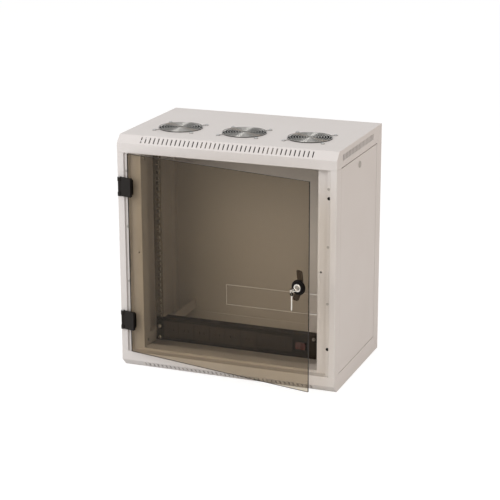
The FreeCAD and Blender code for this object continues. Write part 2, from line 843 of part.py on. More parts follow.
def make_power_panel():
    """Make the rack-width front plate with openings for its modules."""
    body = new_body("power_panel")
    plate = rectangle("-panel_width / 2", "panel_width / 2", "rack_bottom", "panel_top")
    add(body, "plate", "XZ", [plate], "panel_face", "rail_face")
    holes = [(across, level, "rack_screw + bolt_clearance") for _, across, level in panel_screw_places()]
    cut(body, "screw_holes", "XZ", holes, "panel_face - panel_gauge", "rail_face + panel_gauge")
    window = around(outlet_centre(0), "panel_middle", "outlet_size", "outlet_size")
    outlets = cut(body, "outlets", "XZ", [window], "panel_face - panel_gauge", "rail_face + panel_gauge")
    repeat(body, outlets, "H_Axis", "(outlet_count - 1) * outlet_pitch", "outlet_count")
    windows = [
        around("(surge_left + surge_right) / 2", "panel_middle", "surge_width", "surge_height"),
        around("switch_middle", "panel_middle", "switch_width", "switch_height"),
    ]
    cut(body, "windows", "XZ", windows, "panel_face - panel_gauge", "rail_face + panel_gauge")
    return body


def make_power_housing():
    """Make the box behind the front plate, open towards the plate."""
    body = new_body("power_housing")
    outline = rectangle("-housing_width / 2", "housing_width / 2", "housing_low", "housing_high")
    add(body, "box", "XZ", [outline], "rail_face", "housing_rear")
    hollow = rectangle(
        "housing_wall - housing_width / 2",
        "housing_width / 2 - housing_wall",
        "housing_low + housing_wall",
        "housing_high - housing_wall",
    )
    cut(body, "hollow", "XZ", [hollow], "rail_face - housing_wall", "housing_rear - housing_wall")
    window = around("inlet_middle", "panel_middle", "inlet_width", "inlet_height")
    wall = ("housing_rear - housing_wall * 2", "housing_rear + housing_wall")
    cut(body, "inlet_window", "XZ", [window], *wall)
    return body


def make_outlets():
    """Make the row of plain outlet modules with narrow contact slots."""
    body = new_body("outlet_modules")
    block = around(outlet_centre(0), "panel_middle", "outlet_size", "outlet_size")
    blocks = add(body, "block", "XZ", [block], "outlet_face", "outlet_back")
    repeat(body, blocks, "H_Axis", "(outlet_count - 1) * outlet_pitch", "outlet_count")
    slots = []
    for hand in (-1, 1):
        across = f"{outlet_centre(0)} + {hand} * outlet_slot_apart / 2"
        slots.append(around(across, "panel_middle", "outlet_slot_width", "outlet_slot_height"))
    depth = ("outlet_face - outlet_proud", "outlet_face + outlet_slot_depth")
    contacts = cut(body, "slots", "XZ", slots, *depth)
    repeat(body, contacts, "H_Axis", "(outlet_count - 1) * outlet_pitch", "outlet_count")
    return body


def make_surge_module():
    """Make the ribbed surge-protection module."""
    body = new_body("surge_module")
    block = around("(surge_left + surge_right) / 2", "panel_middle", "surge_width", "surge_height")
    add(body, "block", "XZ", [block], "outlet_face", "outlet_back")
    first = "(surge_left + surge_right - rib_span) / 2"
    groove = around(first, "panel_middle", "rib_groove", "surge_height - 2 * rib_margin")
    grooves = cut(body, "groove", "XZ", [groove], "outlet_face - outlet_proud", "outlet_face + rib_depth")
    repeat(body, grooves, "H_Axis", "rib_span", "rib_count")
    return body


def make_switch():
    """Make the mains switch: a frame and a rocker that tilts about an upright pin."""
    frame = new_body("switch_frame")
    add(
        frame,
        "block",
        "XZ",
        [around("switch_middle", "panel_middle", "switch_width", "switch_height")],
        "outlet_face",
        "outlet_back",
    )
    inner_width = "switch_width - 2 * switch_wall"
    inner_height = "switch_height - 2 * switch_wall"
    pocket = around("switch_middle", "panel_middle", inner_width, inner_height)
    cut(frame, "pocket", "XZ", [pocket], "outlet_face - outlet_proud", "outlet_back - switch_wall")
    pivot = ("switch_middle", "rocker_pivot", "rocker_pin")
    half = "switch_height / 2 - switch_wall / 2"
    cut(frame, "pivot", "XY", [pivot], f"panel_middle - ({half})", f"panel_middle + ({half})")

    rocker = new_body("switch_rocker")
    outline = [
        ("switch_middle - rocker_half", "outlet_face - rocker_lift"),
        ("switch_middle", "outlet_face"),
        ("switch_middle + rocker_half", "outlet_face - rocker_lift"),
        ("switch_middle + rocker_heel", "panel_face + rocker_depth"),
        ("switch_middle - rocker_heel", "panel_face + rocker_depth"),
    ]
    low = "panel_middle - rocker_half_height"
    high = "panel_middle + rocker_half_height"
    add(rocker, "block", "XY", [outline], low, high)
    pin = ("switch_middle", "rocker_pivot", "rocker_pin - rocker_fit * 2")
    reach = f"{half} - rocker_pin_gap"
    add(rocker, "pin", "XY", [pin], f"panel_middle - ({reach})", f"panel_middle + ({reach})")
    return [frame, rocker]


def make_inlet():
    """Make the appliance inlet at the back of the housing, with three blades."""
    body = new_body("power_inlet")
    outside = around("inlet_middle", "panel_middle", "inlet_width", "inlet_height")
    add(body, "shell", "XZ", [outside], "housing_rear - housing_wall", "inlet_mouth")
    width = "inlet_width - 2 * inlet_wall"
    height = "inlet_height - 2 * inlet_wall"
    recess = around("inlet_middle", "panel_middle", width, height)
    cut(body, "recess", "XZ", [recess], "inlet_floor", "inlet_mouth + inlet_wall")
    blades = []
    for step in (-1, 0, 1):
        across = f"inlet_middle + {step} * inlet_blade_pitch"
        blades.append(around(across, "panel_middle", "inlet_blade_gauge", "inlet_blade_height"))
    add(body, "blades", "XZ", blades, "inlet_floor - inlet_wall / 2", "inlet_floor + inlet_blade")
    return body


def make_panel_fixings():
    """Make the rack screws and the cage nuts behind the rails."""
    screws = []
    nuts = []
    for name, across, level in panel_screw_places():
        at = (across, level)
        head = ("panel_face - rack_screw_head_height", "panel_face")
        shank = ("panel_face", "panel_face + rack_screw_length")
        screws.append(headed(f"screw_{name}", "y", at, "rack_screw_head", "rack_screw", head, shank))
        cage = new_body(f"cage_{name}")
        seat = "rail_face + rail_gauge"
        block = around(across, level, "cage_nut_width", "cage_nut_width")
        add(cage, "block", "XZ", [block], seat, f"{seat} + cage_nut_height")
        thread = (across, level, "rack_screw")
        cut(cage, "thread", "XZ", [thread], "rail_face", f"{seat} + cage_nut_height * 2")
        nuts.append(cage)
    return [group("panel_screws", screws), group("cage_nuts", nuts)]


FANS = (("left", -1), ("middle", 0), ("right", 1))


def set_at_fan(body, number):
    """Move a piece drawn about the Z axis to its fan."""
    body.setExpression("Placement.Base.x", linked(f"{number} * fan_pitch"))
    body.setExpression("Placement.Base.y", linked("fan_line"))


def make_fan_frame(name, number):
    """Mould one fan frame with its struts, motor floor and bearing tube."""
    body = new_body(f"fan_frame_{name}")
    add(body, "block", "XY", [around("0", "0", "fan_size", "fan_size")], "fan_low", "roof_under")
    cut(body, "duct", "XY", [("0", "0", "fan_bore")], "fan_low - fan_floor", "roof_under + fan_floor")
    floor = "fan_low + fan_floor"
    reach = "fan_bore + strut_width / 2"
    add(body, "strut_across", "XY", [around("0", "0", reach, "strut_width")], "fan_low", floor)
    add(body, "strut_deep", "XY", [around("0", "0", "strut_width", reach)], "fan_low", floor)
    add(body, "motor_floor", "XY", [("0", "0", "hub_diameter")], "fan_low", floor)
    add(body, "bearing", "XY", [("0", "0", "bearing_diameter")], "fan_low", "bearing_top")
    bore = ("0", "0", "shaft_diameter + shaft_fit * 2")
    cut(body, "shaft_bore", "XY", [bore], "fan_low + fan_floor / 2", "bearing_top + fan_floor")
    holes = []
    for across in (-1, 1):
        for deep in (-1, 1):
            place = (f"{across} * fan_corner", f"{deep} * fan_corner")
            holes.append((*place, "fan_screw + fan_screw_clearance"))
    cut(body, "corner_holes", "XY", holes, "fan_low - fan_floor", "roof_under + fan_floor")
    set_at_fan(body, number)
    return body


def make_impeller(name, number):
    """Mould one impeller: a hub cup on its shaft with twisted blades."""
    body = new_body(f"fan_impeller_{name}")
    add(body, "hub", "XY", [("0", "0", "hub_diameter")], "hub_low", "hub_high")
    inner = ("0", "0", "hub_diameter - 2 * hub_wall")
    cut(body, "cup", "XY", [inner], "hub_low - hub_wall", "hub_high - hub_wall")
    crown_level = "hub_high - hub_wall / 2"
    add(body, "boss", "XY", [("0", "0", "bearing_diameter")], "bearing_top + boss_gap", crown_level)
    add(body, "shaft", "XY", [("0", "0", "shaft_diameter")], "fan_low + fan_floor", crown_level)
    blade_root = "hub_diameter / 2 - hub_wall / 2"
    blade = rectangle(blade_root, "blade_tip", "-blade_thickness / 2", "blade_thickness / 2")
    root = draw(body, "blade_low", "XY", [blade], "blade_low")
    crown = draw(body, "blade_high", "XY", [blade], "blade_high")
    root.setExpression("AttachmentOffset.Rotation.Angle", linked("-blade_twist"))
    crown.setExpression("AttachmentOffset.Rotation.Angle", linked("blade_twist"))
    loft = body.newObject("PartDesign::AdditiveLoft", f"{body.Name}_blade")
    loft.Profile = root
    loft.Sections = [crown]
    loft.Ruled = True
    ring = body.newObject("PartDesign::PolarPattern", f"{body.Name}_blades")
    ring.Originals = [loft]
    ring.Axis = (root, ["N_Axis"])
    ring.Angle = 360
    ring.setExpression("Occurrences", linked("blade_count"))
    body.Tip = ring
    set_at_fan(body, number)
    return body


def make_stators():
    """Make the motor windings round the bearing tubes."""
    stators = []
    for name, number in FANS:
        stator = new_body(f"stator_{name}")
        rings = [("0", "0", "stator_diameter"), ("0", "0", "bearing_diameter")]
        floor = "fan_low + fan_floor"
        add(stator, "ring", "XY", rings, floor, f"{floor} + stator_height")
        set_at_fan(stator, number)
        stators.append(stator)
    return group("fan_stators", stators)


def make_guard(name, number):
    """Weld one wire guard: rings on two crossed spokes that end in screw lugs."""
    body = new_body(f"guard_{name}")
    circles = []
    for ring in range(int(sizes.guard_rings)):
        circles.append((f"guard_first_ring + {ring} * guard_ring_step", "guard_level", "guard_wire"))
    sketch = draw(body, "rings", "XZ", circles)
    rings = body.newObject("PartDesign::Revolution", f"{body.Name}_rings")
    rings.Profile = sketch
    rings.ReferenceAxis = (sketch, ["V_Axis"])
    rings.Angle = 360
    spoke = ("0", "guard_spoke", "guard_wire")
    reach = "guard_lug_radius - fan_screw_head / 2 - guard_head_gap"
    add(body, "spoke_across", "YZ", [spoke], f"-({reach})", reach)
    add(body, "spoke_deep", "XZ", [spoke], f"-({reach})", reach)
    lugs = []
    holes = []
    for across, deep in ((1, 0), (-1, 0), (0, 1), (0, -1)):
        place = (f"{across} * guard_lug_radius", f"{deep} * guard_lug_radius")
        lugs.append((*place, "guard_lug"))
        holes.append((*place, "fan_screw + fan_screw_clearance"))
    add(body, "lugs", "XY", lugs, "cabinet_height", "lug_top")
    cut(body, "lug_holes", "XY", holes, "roof_under", "guard_level + guard_wire")
    body.Placement = FreeCAD.Placement(FreeCAD.Vector(), FreeCAD.Rotation(FreeCAD.Vector(0, 0, 1), 45))
    set_at_fan(body, number)
    return body


def make_fan_fixings():
    """Make the long screws and nuts that hold each guard and fan to the roof."""
    screws = []
    nuts = []
    for name, number in FANS:
        for across in (-1, 1):
            for deep in (-1, 1):
                at = (f"{number} * fan_pitch + {across} * fan_corner", f"fan_line + {deep} * fan_corner")
                tag = f"fan_{name}_{across + 1}{deep + 1}"
                head = ("lug_top", "lug_top + fan_screw_head_height")
                shank = ("fan_low - fan_nut_height", "lug_top")
                screws.append(headed(f"{tag}_screw", "z", at, "fan_screw_head", "fan_screw", head, shank))
                ends = ("fan_low - fan_nut_height", "fan_low")
                blank = rod(f"{tag}_nut_blank", "z", at, "fan_nut", *ends)
                hole = rod(f"{tag}_nut_hole", "z", at, "fan_screw", *ends)
                nuts.append(bored(f"{tag}_nut", blank, hole))
    return [group("fan_screws", screws), group("fan_nuts", nuts)]


def make_side_panel(label, hand):
    """Fold one lift-off side panel: a plate with turned-in edges and two hooking tabs."""
    body = new_body(label)
    outline = rectangle("panel_front", "panel_rear", "panel_low", "panel_high")
    add(body, "plate", "YZ", [outline], *span(hand, "panel_inner", "side"))
    inner = rectangle(
        "panel_front + sheet_gauge",
        "panel_rear - sheet_gauge",
        "panel_low + sheet_gauge",
        "panel_high - sheet_gauge",
    )
    add(body, "edges", "YZ", [outline, inner], *span(hand, "side - panel_flange", "panel_inner"))
    tabs = []
    for centre in ("panel_front + tab_margin", "panel_rear - tab_margin"):
        low = f"{centre} - tab_width / 2"
        high = f"{centre} + tab_width / 2"
        tabs.append(rectangle(low, high, "pan_height - tab_drop", "panel_low + sheet_gauge / 2"))
    add(body, "tabs", "YZ", tabs, *span(hand, "tab_inner", "tab_outer"))
    hole = ("panel_centre", "side_lock_level", "side_lock_barrel + side_lock_fit * 2")
    cut(body, "lock_hole", "YZ", [hole], *span(hand, "panel_inner - sheet_gauge", "side + sheet_gauge"))
    return body


def make_side_lock(label, hand):
    """Make one quarter-turn side lock: face, barrel and cam, drawn unlocked."""
    body = new_body(label)
    at = ("panel_centre", "side_lock_level")
    add(body, "face", "YZ", [(*at, "side_lock_face")], *span(hand, "side", "side + side_lock_proud"))
    add(body, "barrel", "YZ", [(*at, "side_lock_barrel")], *span(hand, "side_cam_inner", "side"))
    cam = rectangle(
        "panel_centre - side_cam_width / 2",
        "panel_centre + side_cam_reach",
        "side_lock_level - side_cam_width / 2",
        "side_lock_level + side_cam_width / 2",
    )
    add(body, "cam", "YZ", [cam], *span(hand, "side_cam_inner", "side_cam_outer"))
    slot = around(*at, "side_lock_slot", "side_lock_barrel")
    cut(body, "slot", "YZ", [slot], *span(hand, "side", "side + side_lock_proud * 2"))
    return body


def hinge_levels():
    """Give the names and heights of the two hinges."""
    return (("lower", "middle - hinge_spacing / 2"), ("upper", "middle + hinge_spacing / 2"))


def hinge_bolt_levels(level):
    """Give the heights of the two bolts in one hinge bracket."""
    offset = "(hinge_height - hinge_ear) / 2"
    return [f"{level} - {offset}", f"{level} + {offset}"]


def hinge_ears(level):
    """Give the low and high ends of a bracket's two ears."""
    half = "hinge_height / 2"
    return (
        ("low", f"{level} - {half}", f"{level} - {half} + hinge_ear"),
        ("high", f"{level} + {half} - hinge_ear", f"{level} + {half}"),
    )


def make_hinge_bracket(name, level):
    """Mould one fixed hinge bracket: a spine on the post and two ears round the pin."""
    body = new_body(f"hinge_bracket_{name}")
    left = "hinge_line - hinge_ear_radius"
    right = "hinge_line + hinge_ear_radius"
    spine = rectangle(left, right, "front - hinge_spine", "front")
    add(body, "spine", "XY", [spine], f"{level} - hinge_height / 2", f"{level} + hinge_height / 2")
    for ear, low, high in hinge_ears(level):
        block = rectangle(left, right, "hinge_front", "front")
        add(body, f"{ear}_ear", "XY", [block], low, high)
        add(body, f"{ear}_nose", "XY", [("hinge_line", "hinge_front", "hinge_ear_radius * 2")], low, high)
    bore = ("hinge_line", "hinge_front", "pin_diameter + pin_fit * 2")
    cut(body, "pin_bore", "XY", [bore], f"{level} - hinge_height", f"{level} + hinge_height")
    holes = [("hinge_line", bolt, "hinge_bolt") for bolt in hinge_bolt_levels(level)]
    cut(body, "bolt_holes", "XZ", holes, "front - hinge_bolt_bite", "front + hinge_bolt_bite")
    return body


def make_hinge_pins():
    """Make the two hinge pins, each hung by its head on the upper ear."""
    pins = []
    for name, level in hinge_levels():
        top = f"{level} + hinge_height / 2"
        head = (top, f"{top} + pin_head_height")
        shank = (f"{level} - hinge_height / 2", top)
        at = ("hinge_line", "hinge_front")
        pins.append(headed(f"hinge_pin_{name}", "z", at, "pin_head", "pin_diameter", head, shank))
    return group("hinge_pins", pins)


def make_hinge_bolts():
    """Make the bolts that hold the brackets, put in from behind the post's strip."""
    bolts = []
    for name, level in hinge_levels():
        for number, bolt in enumerate(hinge_bolt_levels(level)):
            seat = "front + sheet_gauge"
            head = (seat, f"{seat} + hinge_bolt_head_height")
            shank = ("front - hinge_bolt_bite", seat)
            at = ("hinge_line", bolt)
            bolts.append(
                headed(f"hinge_bolt_{name}_{number}", "y", at, "hinge_bolt_head", "hinge_bolt", head, shank)
            )
    return group("hinge_bolts", bolts)


def clip_screw_levels(level):
    """Give the heights of the two screws in one glass clip."""
    return [f"{level} - clip_screw_spacing / 2", f"{level} + clip_screw_spacing / 2"]


def make_hinge_clip(name, level):
    """Mould one glass clip: a front block and a knuckle that turns on the pin."""
    body = new_body(f"hinge_clip_{name}")
    block = [
        ("clip_left", "clip_face"),
        ("clip_right", "clip_face"),
        ("clip_right", "glass_front"),
        ("glass_hinge_edge", "glass_front"),
        ("glass_hinge_edge", "front - hinge_running_gap"),
        ("clip_left", "front - hinge_running_gap"),
    ]
    add(body, "block", "XY", [block], f"{level} - hinge_height / 2", f"{level} + hinge_height / 2")
    half = "hinge_height / 2 - hinge_ear - hinge_running_gap"
    low = f"{level} - ({half})"
    high = f"{level} + ({half})"
    add(body, "knuckle", "XY", [("hinge_line", "hinge_front", "knuckle_radius * 2")], low, high)
    web_depth = ("hinge_front - clip_web / 2", "hinge_front + clip_web / 2")
    web = rectangle("hinge_line", "clip_left + clip_web / 2", *web_depth)
    add(body, "web", "XY", [web], low, high)
    bore = ("hinge_line", "hinge_front", "pin_diameter + pin_fit * 2")
    cut(body, "pin_bore", "XY", [bore], f"{level} - hinge_height", f"{level} + hinge_height")
    holes = [("clip_screw_line", screw, "clip_screw") for screw in clip_screw_levels(level)]
    cut(body, "screw_holes", "XZ", holes, "glass_front - clip_screw_bite", "glass_front + clip_screw_bite")
    return body


def make_clip_plate(name, level):
    """Make one clamping plate behind the glass."""
    body = new_body(f"clip_plate_{name}")
    plate = around("clip_screw_line", level, "clip_plate_width", "clip_plate_height")
    add(body, "plate", "XZ", [plate], "glass_back", "glass_back + clip_plate_gauge")
    holes = [("clip_screw_line", screw, "clip_screw") for screw in clip_screw_levels(level)]
    cut(body, "holes", "XZ", holes, "glass_back - clip_plate_gauge", "glass_back + clip_plate_gauge * 2")
    return body


def make_clip_screws():
    """Make the screws that clamp the clips to the glass."""
    screws = []
    for name, level in hinge_levels():
        for number, screw in enumerate(clip_screw_levels(level)):
            seat = "glass_back + clip_plate_gauge"
            head = (seat, f"{seat} + clip_screw_head_height")
            shank = ("glass_front - clip_screw_bite", seat)
            at = ("clip_screw_line", screw)
            screws.append(
                headed(f"clip_screw_{name}_{number}", "y", at, "clip_screw_head", "clip_screw", head, shank)
            )
    return group("clip_screws", screws)


def make_glass():
    """Cut the door glass with its lock hole and clip holes."""
    body = new_body("door_glass")
    pane = rectangle("glass_hinge_edge", "glass_edge", "glass_low", "glass_high")
    add(body, "pane", "XZ", [pane], "glass_front", "glass_back")
    holes = [("lock_line", "middle", "lock_hole")]
    for _, level in hinge_levels():
        holes += [("clip_screw_line", screw, "clip_glass_hole") for screw in clip_screw_levels(level)]
    cut(body, "holes", "XZ", holes, "glass_front - glass_thickness", "glass_back + glass_thickness")
    return body


def make_buffers():
    """Make the soft buffers in both rebates, for a door that can hang on either side."""
    buffers = []
    for side_name, hand in (("left", -1), ("right", 1)):
        for step in (-1, 0, 1):
            across = f"{hand} * (rebate_edge + glass_edge) / 2"
            level = f"middle + buffer_rise + {step} * buffer_spacing"
            at = (across, level)
            name = f"buffer_{side_name}_{step + 1}"
            buffers.append(rod(name, "y", at, "buffer_diameter", "glass_back + buffer_relief", "rebate_face"))
    return group("door_buffers", buffers)


def make_lock_bezel():
    """Mould the round bezel in front of the glass."""
    body = new_body("lock_bezel")
    at = ("lock_line", "middle")
    add(body, "flange", "XZ", [(*at, "bezel_diameter")], "glass_front - bezel_lip", "glass_front")
    add(body, "dome", "XZ", [(*at, "bezel_diameter - bezel_step * 2")], "bezel_face", "glass_front")
    cut(body, "bore", "XZ", [(*at, "lock_barrel + bezel_fit * 2")], "bezel_face - bezel_lip", "glass_back")
    cut(body, "seat", "XZ", [(*at, "lock_cup + bezel_fit * 2")], "bezel_face - bezel_lip", "lock_shoulder")
    return body


def make_lock_body():
    """Turn the lock body: a cup that clamps the bezel and a barrel through the glass."""
    body = new_body("lock_body")
    at = ("lock_line", "middle")
    add(body, "cup", "XZ", [(*at, "lock_cup")], "lock_face", "lock_shoulder")
    add(body, "barrel", "XZ", [(*at, "lock_barrel")], "lock_face", "lock_nut_back")
    bore = (*at, "plug_diameter + plug_fit * 2")
    cut(body, "bore", "XZ", [bore], "lock_face - lock_cup_depth", "lock_nut_back + lock_cup_depth")
    return body


def make_lock_nut():
    """Make the six-sided nut behind the glass."""
    body = new_body("lock_nut")
    corners = []
    for corner in range(6):
        turn = math.radians(60 * corner)
        reach = "lock_nut_flats / sqrt(3)"
        across = f"lock_line + {math.cos(turn):.6f} * {reach}"
        corners.append((across, f"middle + {math.sin(turn):.6f} * {reach}"))
    loops = [corners, ("lock_line", "middle", "lock_barrel")]
    add(body, "nut", "XZ", loops, "glass_back", "lock_nut_back")
    return body


def make_lock_plug():
    """Turn the lock plug with its keyway and the square tail for the cam."""
    body = new_body("lock_plug")
    at = ("lock_line", "middle")
    add(body, "plug", "XZ", [(*at, "plug_diameter")], "plug_face", "cam_front")
    add(body, "tail", "XZ", [around(*at, "cam_boss", "cam_boss")], "cam_front", "cam_back")
    keyway = around(*at, "keyway_width", "keyway_height")
    cut(body, "keyway", "XZ", [keyway], "plug_face - plug_proud", "plug_face + keyway_depth")
    return body


def make_lock_cam():
    """Cut the bent latch bar that turns behind the post's rebate."""
    body = new_body("lock_cam")
    half = "cam_width / 2"
    chamfer = "cam_chamfer"
    upper = "lock_line - cam_up * tan(cam_lean)"
    lower = "lock_line - cam_down * tan(cam_lean)"
    outline = [
        (f"lock_line - {half}", "middle"),
        (f"{upper} - {half}", f"middle + cam_up - {chamfer}"),
        (f"{upper} - {half} + {chamfer}", "middle + cam_up"),
        (f"{upper} + {half} - {chamfer}", "middle + cam_up"),
        (f"{upper} + {half}", f"middle + cam_up - {chamfer}"),
        (f"lock_line + {half}", "middle"),
        (f"{lower} + {half}", f"middle - cam_down + {chamfer}"),
        (f"{lower} + {half} - {chamfer}", "middle - cam_down"),
        (f"{lower} - {half} + {chamfer}", "middle - cam_down"),
        (f"{lower} - {half}", f"middle - cam_down + {chamfer}"),
    ]
    hole = around("lock_line", "middle", "cam_boss", "cam_boss")
    add(body, "bar", "XZ", [outline, hole], "cam_front", "cam_back")
    return body


def make_cam_screw():
    """Make the screw that holds the cam on the plug's tail."""
    at = ("lock_line", "middle")
    screw = rod("cam_screw_blank", "y", at, "cam_screw_head", "cam_back", "cam_back + cam_screw_height")
    return group("lock_cam_screw", [screw])


def make_key():
    """Cut the key that sits in the lock, lying flat in the keyway."""
    body = new_body("door_key")
    half_blade = "key_blade_width / 2"
    half_bow = "key_bow_width / 2"
    corner = "key_bow_width / 4"
    outline = [
        (f"lock_line - {half_blade}", "plug_face + keyway_depth - plug_proud"),
        (f"lock_line - {half_blade}", "plug_face - key_neck"),
        (f"lock_line - {half_bow}", f"plug_face - key_neck - {corner}"),
        (f"lock_line - {half_bow}", f"key_end + {corner}"),
        (f"lock_line - {half_bow} + {corner}", "key_end"),
        (f"lock_line + {half_bow} - {corner}", "key_end"),
        (f"lock_line + {half_bow}", f"key_end + {corner}"),
        (f"lock_line + {half_bow}", f"plug_face - key_neck - {corner}"),
        (f"lock_line + {half_blade}", "plug_face - key_neck"),
        (f"lock_line + {half_blade}", "plug_face + keyway_depth - plug_proud"),
    ]
    hole = ("lock_line", "key_hole_line", "key_hole")
    add(body, "blank", "XY", [outline, hole], "middle - key_gauge / 2", "middle + key_gauge / 2")
    return body


def make_key_ring():
    """Bend the ring that hangs in the key's hole."""
    ring = doc.addObject("Part::Torus", "key_ring_wire")
    ring.setExpression("Radius1", linked("ring_radius"))
    ring.setExpression("Radius2", linked("ring_wire / 2"))
    ring.Placement = FreeCAD.Placement(FreeCAD.Vector(), FreeCAD.Rotation(FreeCAD.Vector(0, 1, 0), 90))
    ring.setExpression("Placement.Base.x", linked("lock_line"))
    ring.setExpression("Placement.Base.y", linked("key_eye"))
    ring.setExpression("Placement.Base.z", linked("ring_level"))
    return group("key_ring", [ring])


def make_spare_key():
    """Make the spare key that hangs on the ring: a blade and its moulded head."""
    blade = new_body("spare_key")
    low = "key_eye - spare_blade_gauge / 2"
    high = "key_eye + spare_blade_gauge / 2"
    half = "spare_blade_width / 2"
    bevel = "spare_blade_bevel"
    outline = [
        (f"lock_line - {half}", "spare_shoulder + spare_tang"),
        (f"lock_line + {half}", "spare_shoulder + spare_tang"),
        (f"lock_line + {half}", f"spare_shoulder - spare_blade_length + {bevel}"),
        (f"lock_line + {half} - {bevel}", "spare_shoulder - spare_blade_length"),
        (f"lock_line - {half}", "spare_shoulder - spare_blade_length"),
    ]
    add(blade, "blank", "XZ", [outline], low, high)

    head = new_body("spare_key_head")
    half = "spare_head_width / 2"
    corner = "spare_head_width / 4"
    outline = [
        (f"lock_line - {half} + {corner}", "spare_top"),
        (f"lock_line + {half} - {corner}", "spare_top"),
        (f"lock_line + {half}", f"spare_top - {corner}"),
        (f"lock_line + {half}", f"spare_shoulder + {corner}"),
        (f"lock_line + {half} - {corner}", "spare_shoulder"),
        (f"lock_line - {half} + {corner}", "spare_shoulder"),
        (f"lock_line - {half}", f"spare_shoulder + {corner}"),
        (f"lock_line - {half}", f"spare_top - {corner}"),
    ]
    eye = ("lock_line", "spare_eye_level", "spare_eye")
    gauge = "spare_head_gauge / 2"
    add(head, "moulding", "XZ", [outline, eye], f"key_eye - {gauge}", f"key_eye + {gauge}")
    tang = around("lock_line", "key_eye", "spare_blade_width", "spare_blade_gauge")
    cut(head, "tang", "XY", [tang], "spare_shoulder - spare_tang", "spare_shoulder + spare_tang")
    return [blade, head]


def build():
    """Make every sub-part in the order that it would be assembled."""
    fixed = [make_base(), make_roof(), make_rear_panel(), make_entry_plate()]
    fixed += [make_post("front_post_left", -1), make_post("front_post_right", 1)]
    fixed.append(make_cross_rail("front_sill", lambda rise: rise))
    fixed.append(make_cross_rail("front_header", lambda rise: f"cabinet_height - ({rise})"))
    for side_name, hand in (("left", -1), ("right", 1)):
        fixed.append(make_bar(f"depth_bar_{side_name}_lower", hand, "bar_low"))
        fixed.append(make_bar(f"depth_bar_{side_name}_upper", hand, "bar_high"))
        fixed.append(make_rail(f"rack_rail_{side_name}", hand))
        fixed.append(make_side_panel(f"side_panel_{side_name}", hand))
        fixed.append(make_side_lock(f"side_lock_{side_name}", hand))
    fixed += make_frame_bolts()
    fixed.append(make_bar_rivets())
    fixed += [make_power_panel(), make_power_housing(), make_outlets(), make_surge_module(), make_inlet()]
    switch_frame, rocker = make_switch()
    fixed.append(switch_frame)
    fixed += make_panel_fixings()
    for name, number in FANS:
        fixed.append(make_fan_frame(name, number))
        fixed.append(make_impeller(name, number))
    fixed.append(group("fan_guards", [make_guard(name, number) for name, number in FANS]))
    fixed.append(make_stators())
    fixed += make_fan_fixings()
    fixed += [make_hinge_pins(), make_hinge_bolts(), make_buffers()]
    door = [make_glass(), make_clip_screws(), make_lock_bezel(), make_lock_body(), make_lock_nut()]
    for name, level in hinge_levels():
        fixed.append(make_hinge_bracket(name, level))
        door.append(make_hinge_clip(name, level))
    door.append(group("hinge_plates", [make_clip_plate(name, level) for name, level in hinge_levels()]))
    turned = [make_lock_plug(), make_lock_cam(), make_cam_screw(), make_key()]
    hanging = [make_key_ring()] + make_spare_key()
    doc.recompute()
    set_positions(door + hanging, turned, rocker)
    doc.recompute()
    return fixed + [rocker] + door + turned + hanging


def turned_about(direction, degrees, centre):
    """Give the placement that turns a piece about a line through a point."""
    return FreeCAD.Placement(FreeCAD.Vector(), FreeCAD.Rotation(direction, degrees), centre)


def set_positions(door, plug, rocker):
    """Set the door ajar about its hinge line, the lock's plug a little turned in it and the switch off."""
    upright = FreeCAD.Vector(0, 0, 1)
    hinge = FreeCAD.Vector(places.hinge_line, places.hinge_front, 0)
    swing = turned_about(upright, -sizes.door_ajar, hinge)
    lock = FreeCAD.Vector(places.lock_line, 0, places.middle)
    turn = turned_about(FreeCAD.Vector(0, 1, 0), sizes.cam_turned, lock)
    pivot = FreeCAD.Vector(places.switch_middle, places.rocker_pivot, 0)
    for piece in door:
        piece.Placement = swing.multiply(piece.Placement)
    for piece in plug:
        piece.Placement = swing.multiply(turn).multiply(piece.Placement)
    rocker.Placement = turned_about(upright, -sizes.rocker_tilt, pivot)


def check(parts):
    """Stop if anything in the document failed, or a cut took nothing away."""
    for item in doc.Objects:
        if "Invalid" in item.State or "Error" in item.State:
            raise RuntimeError(f"{item.Label} failed: {item.State}")
        if item.TypeId == "PartDesign::Pocket" and item.Shape.Volume > item.BaseFeature.Shape.Volume - 0.01:
            raise RuntimeError(f"{item.Label} cuts nothing")
    for part in parts:
        if part.Shape.isNull() or not part.Shape.isValid():
            raise RuntimeError(f"{part.Label} has no valid shape")


def write(parts):
    """Write each sub-part to its own file."""
    os.makedirs("parts", exist_ok=True)
    for part in parts:
        part.Shape.exportStep(os.path.join("parts", part.Label + ".step"))
        box = part.Shape.BoundBox
        corners = [box.XMin, box.YMin, box.ZMin, box.XMax, box.YMax, box.ZMax]
        print(part.Label, len(part.Shape.Solids), round(part.Shape.Volume, 1), [round(c, 2) for c in corners])


finished = build()
check(finished)
write(finished)
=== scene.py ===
"""Looks of a wall-mounted network cabinet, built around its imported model, in metres."""
import json
import logging
import math
from dataclasses import dataclass, field
from enum import Enum

import bmesh
import bpy
from mathutils import Matrix, Vector


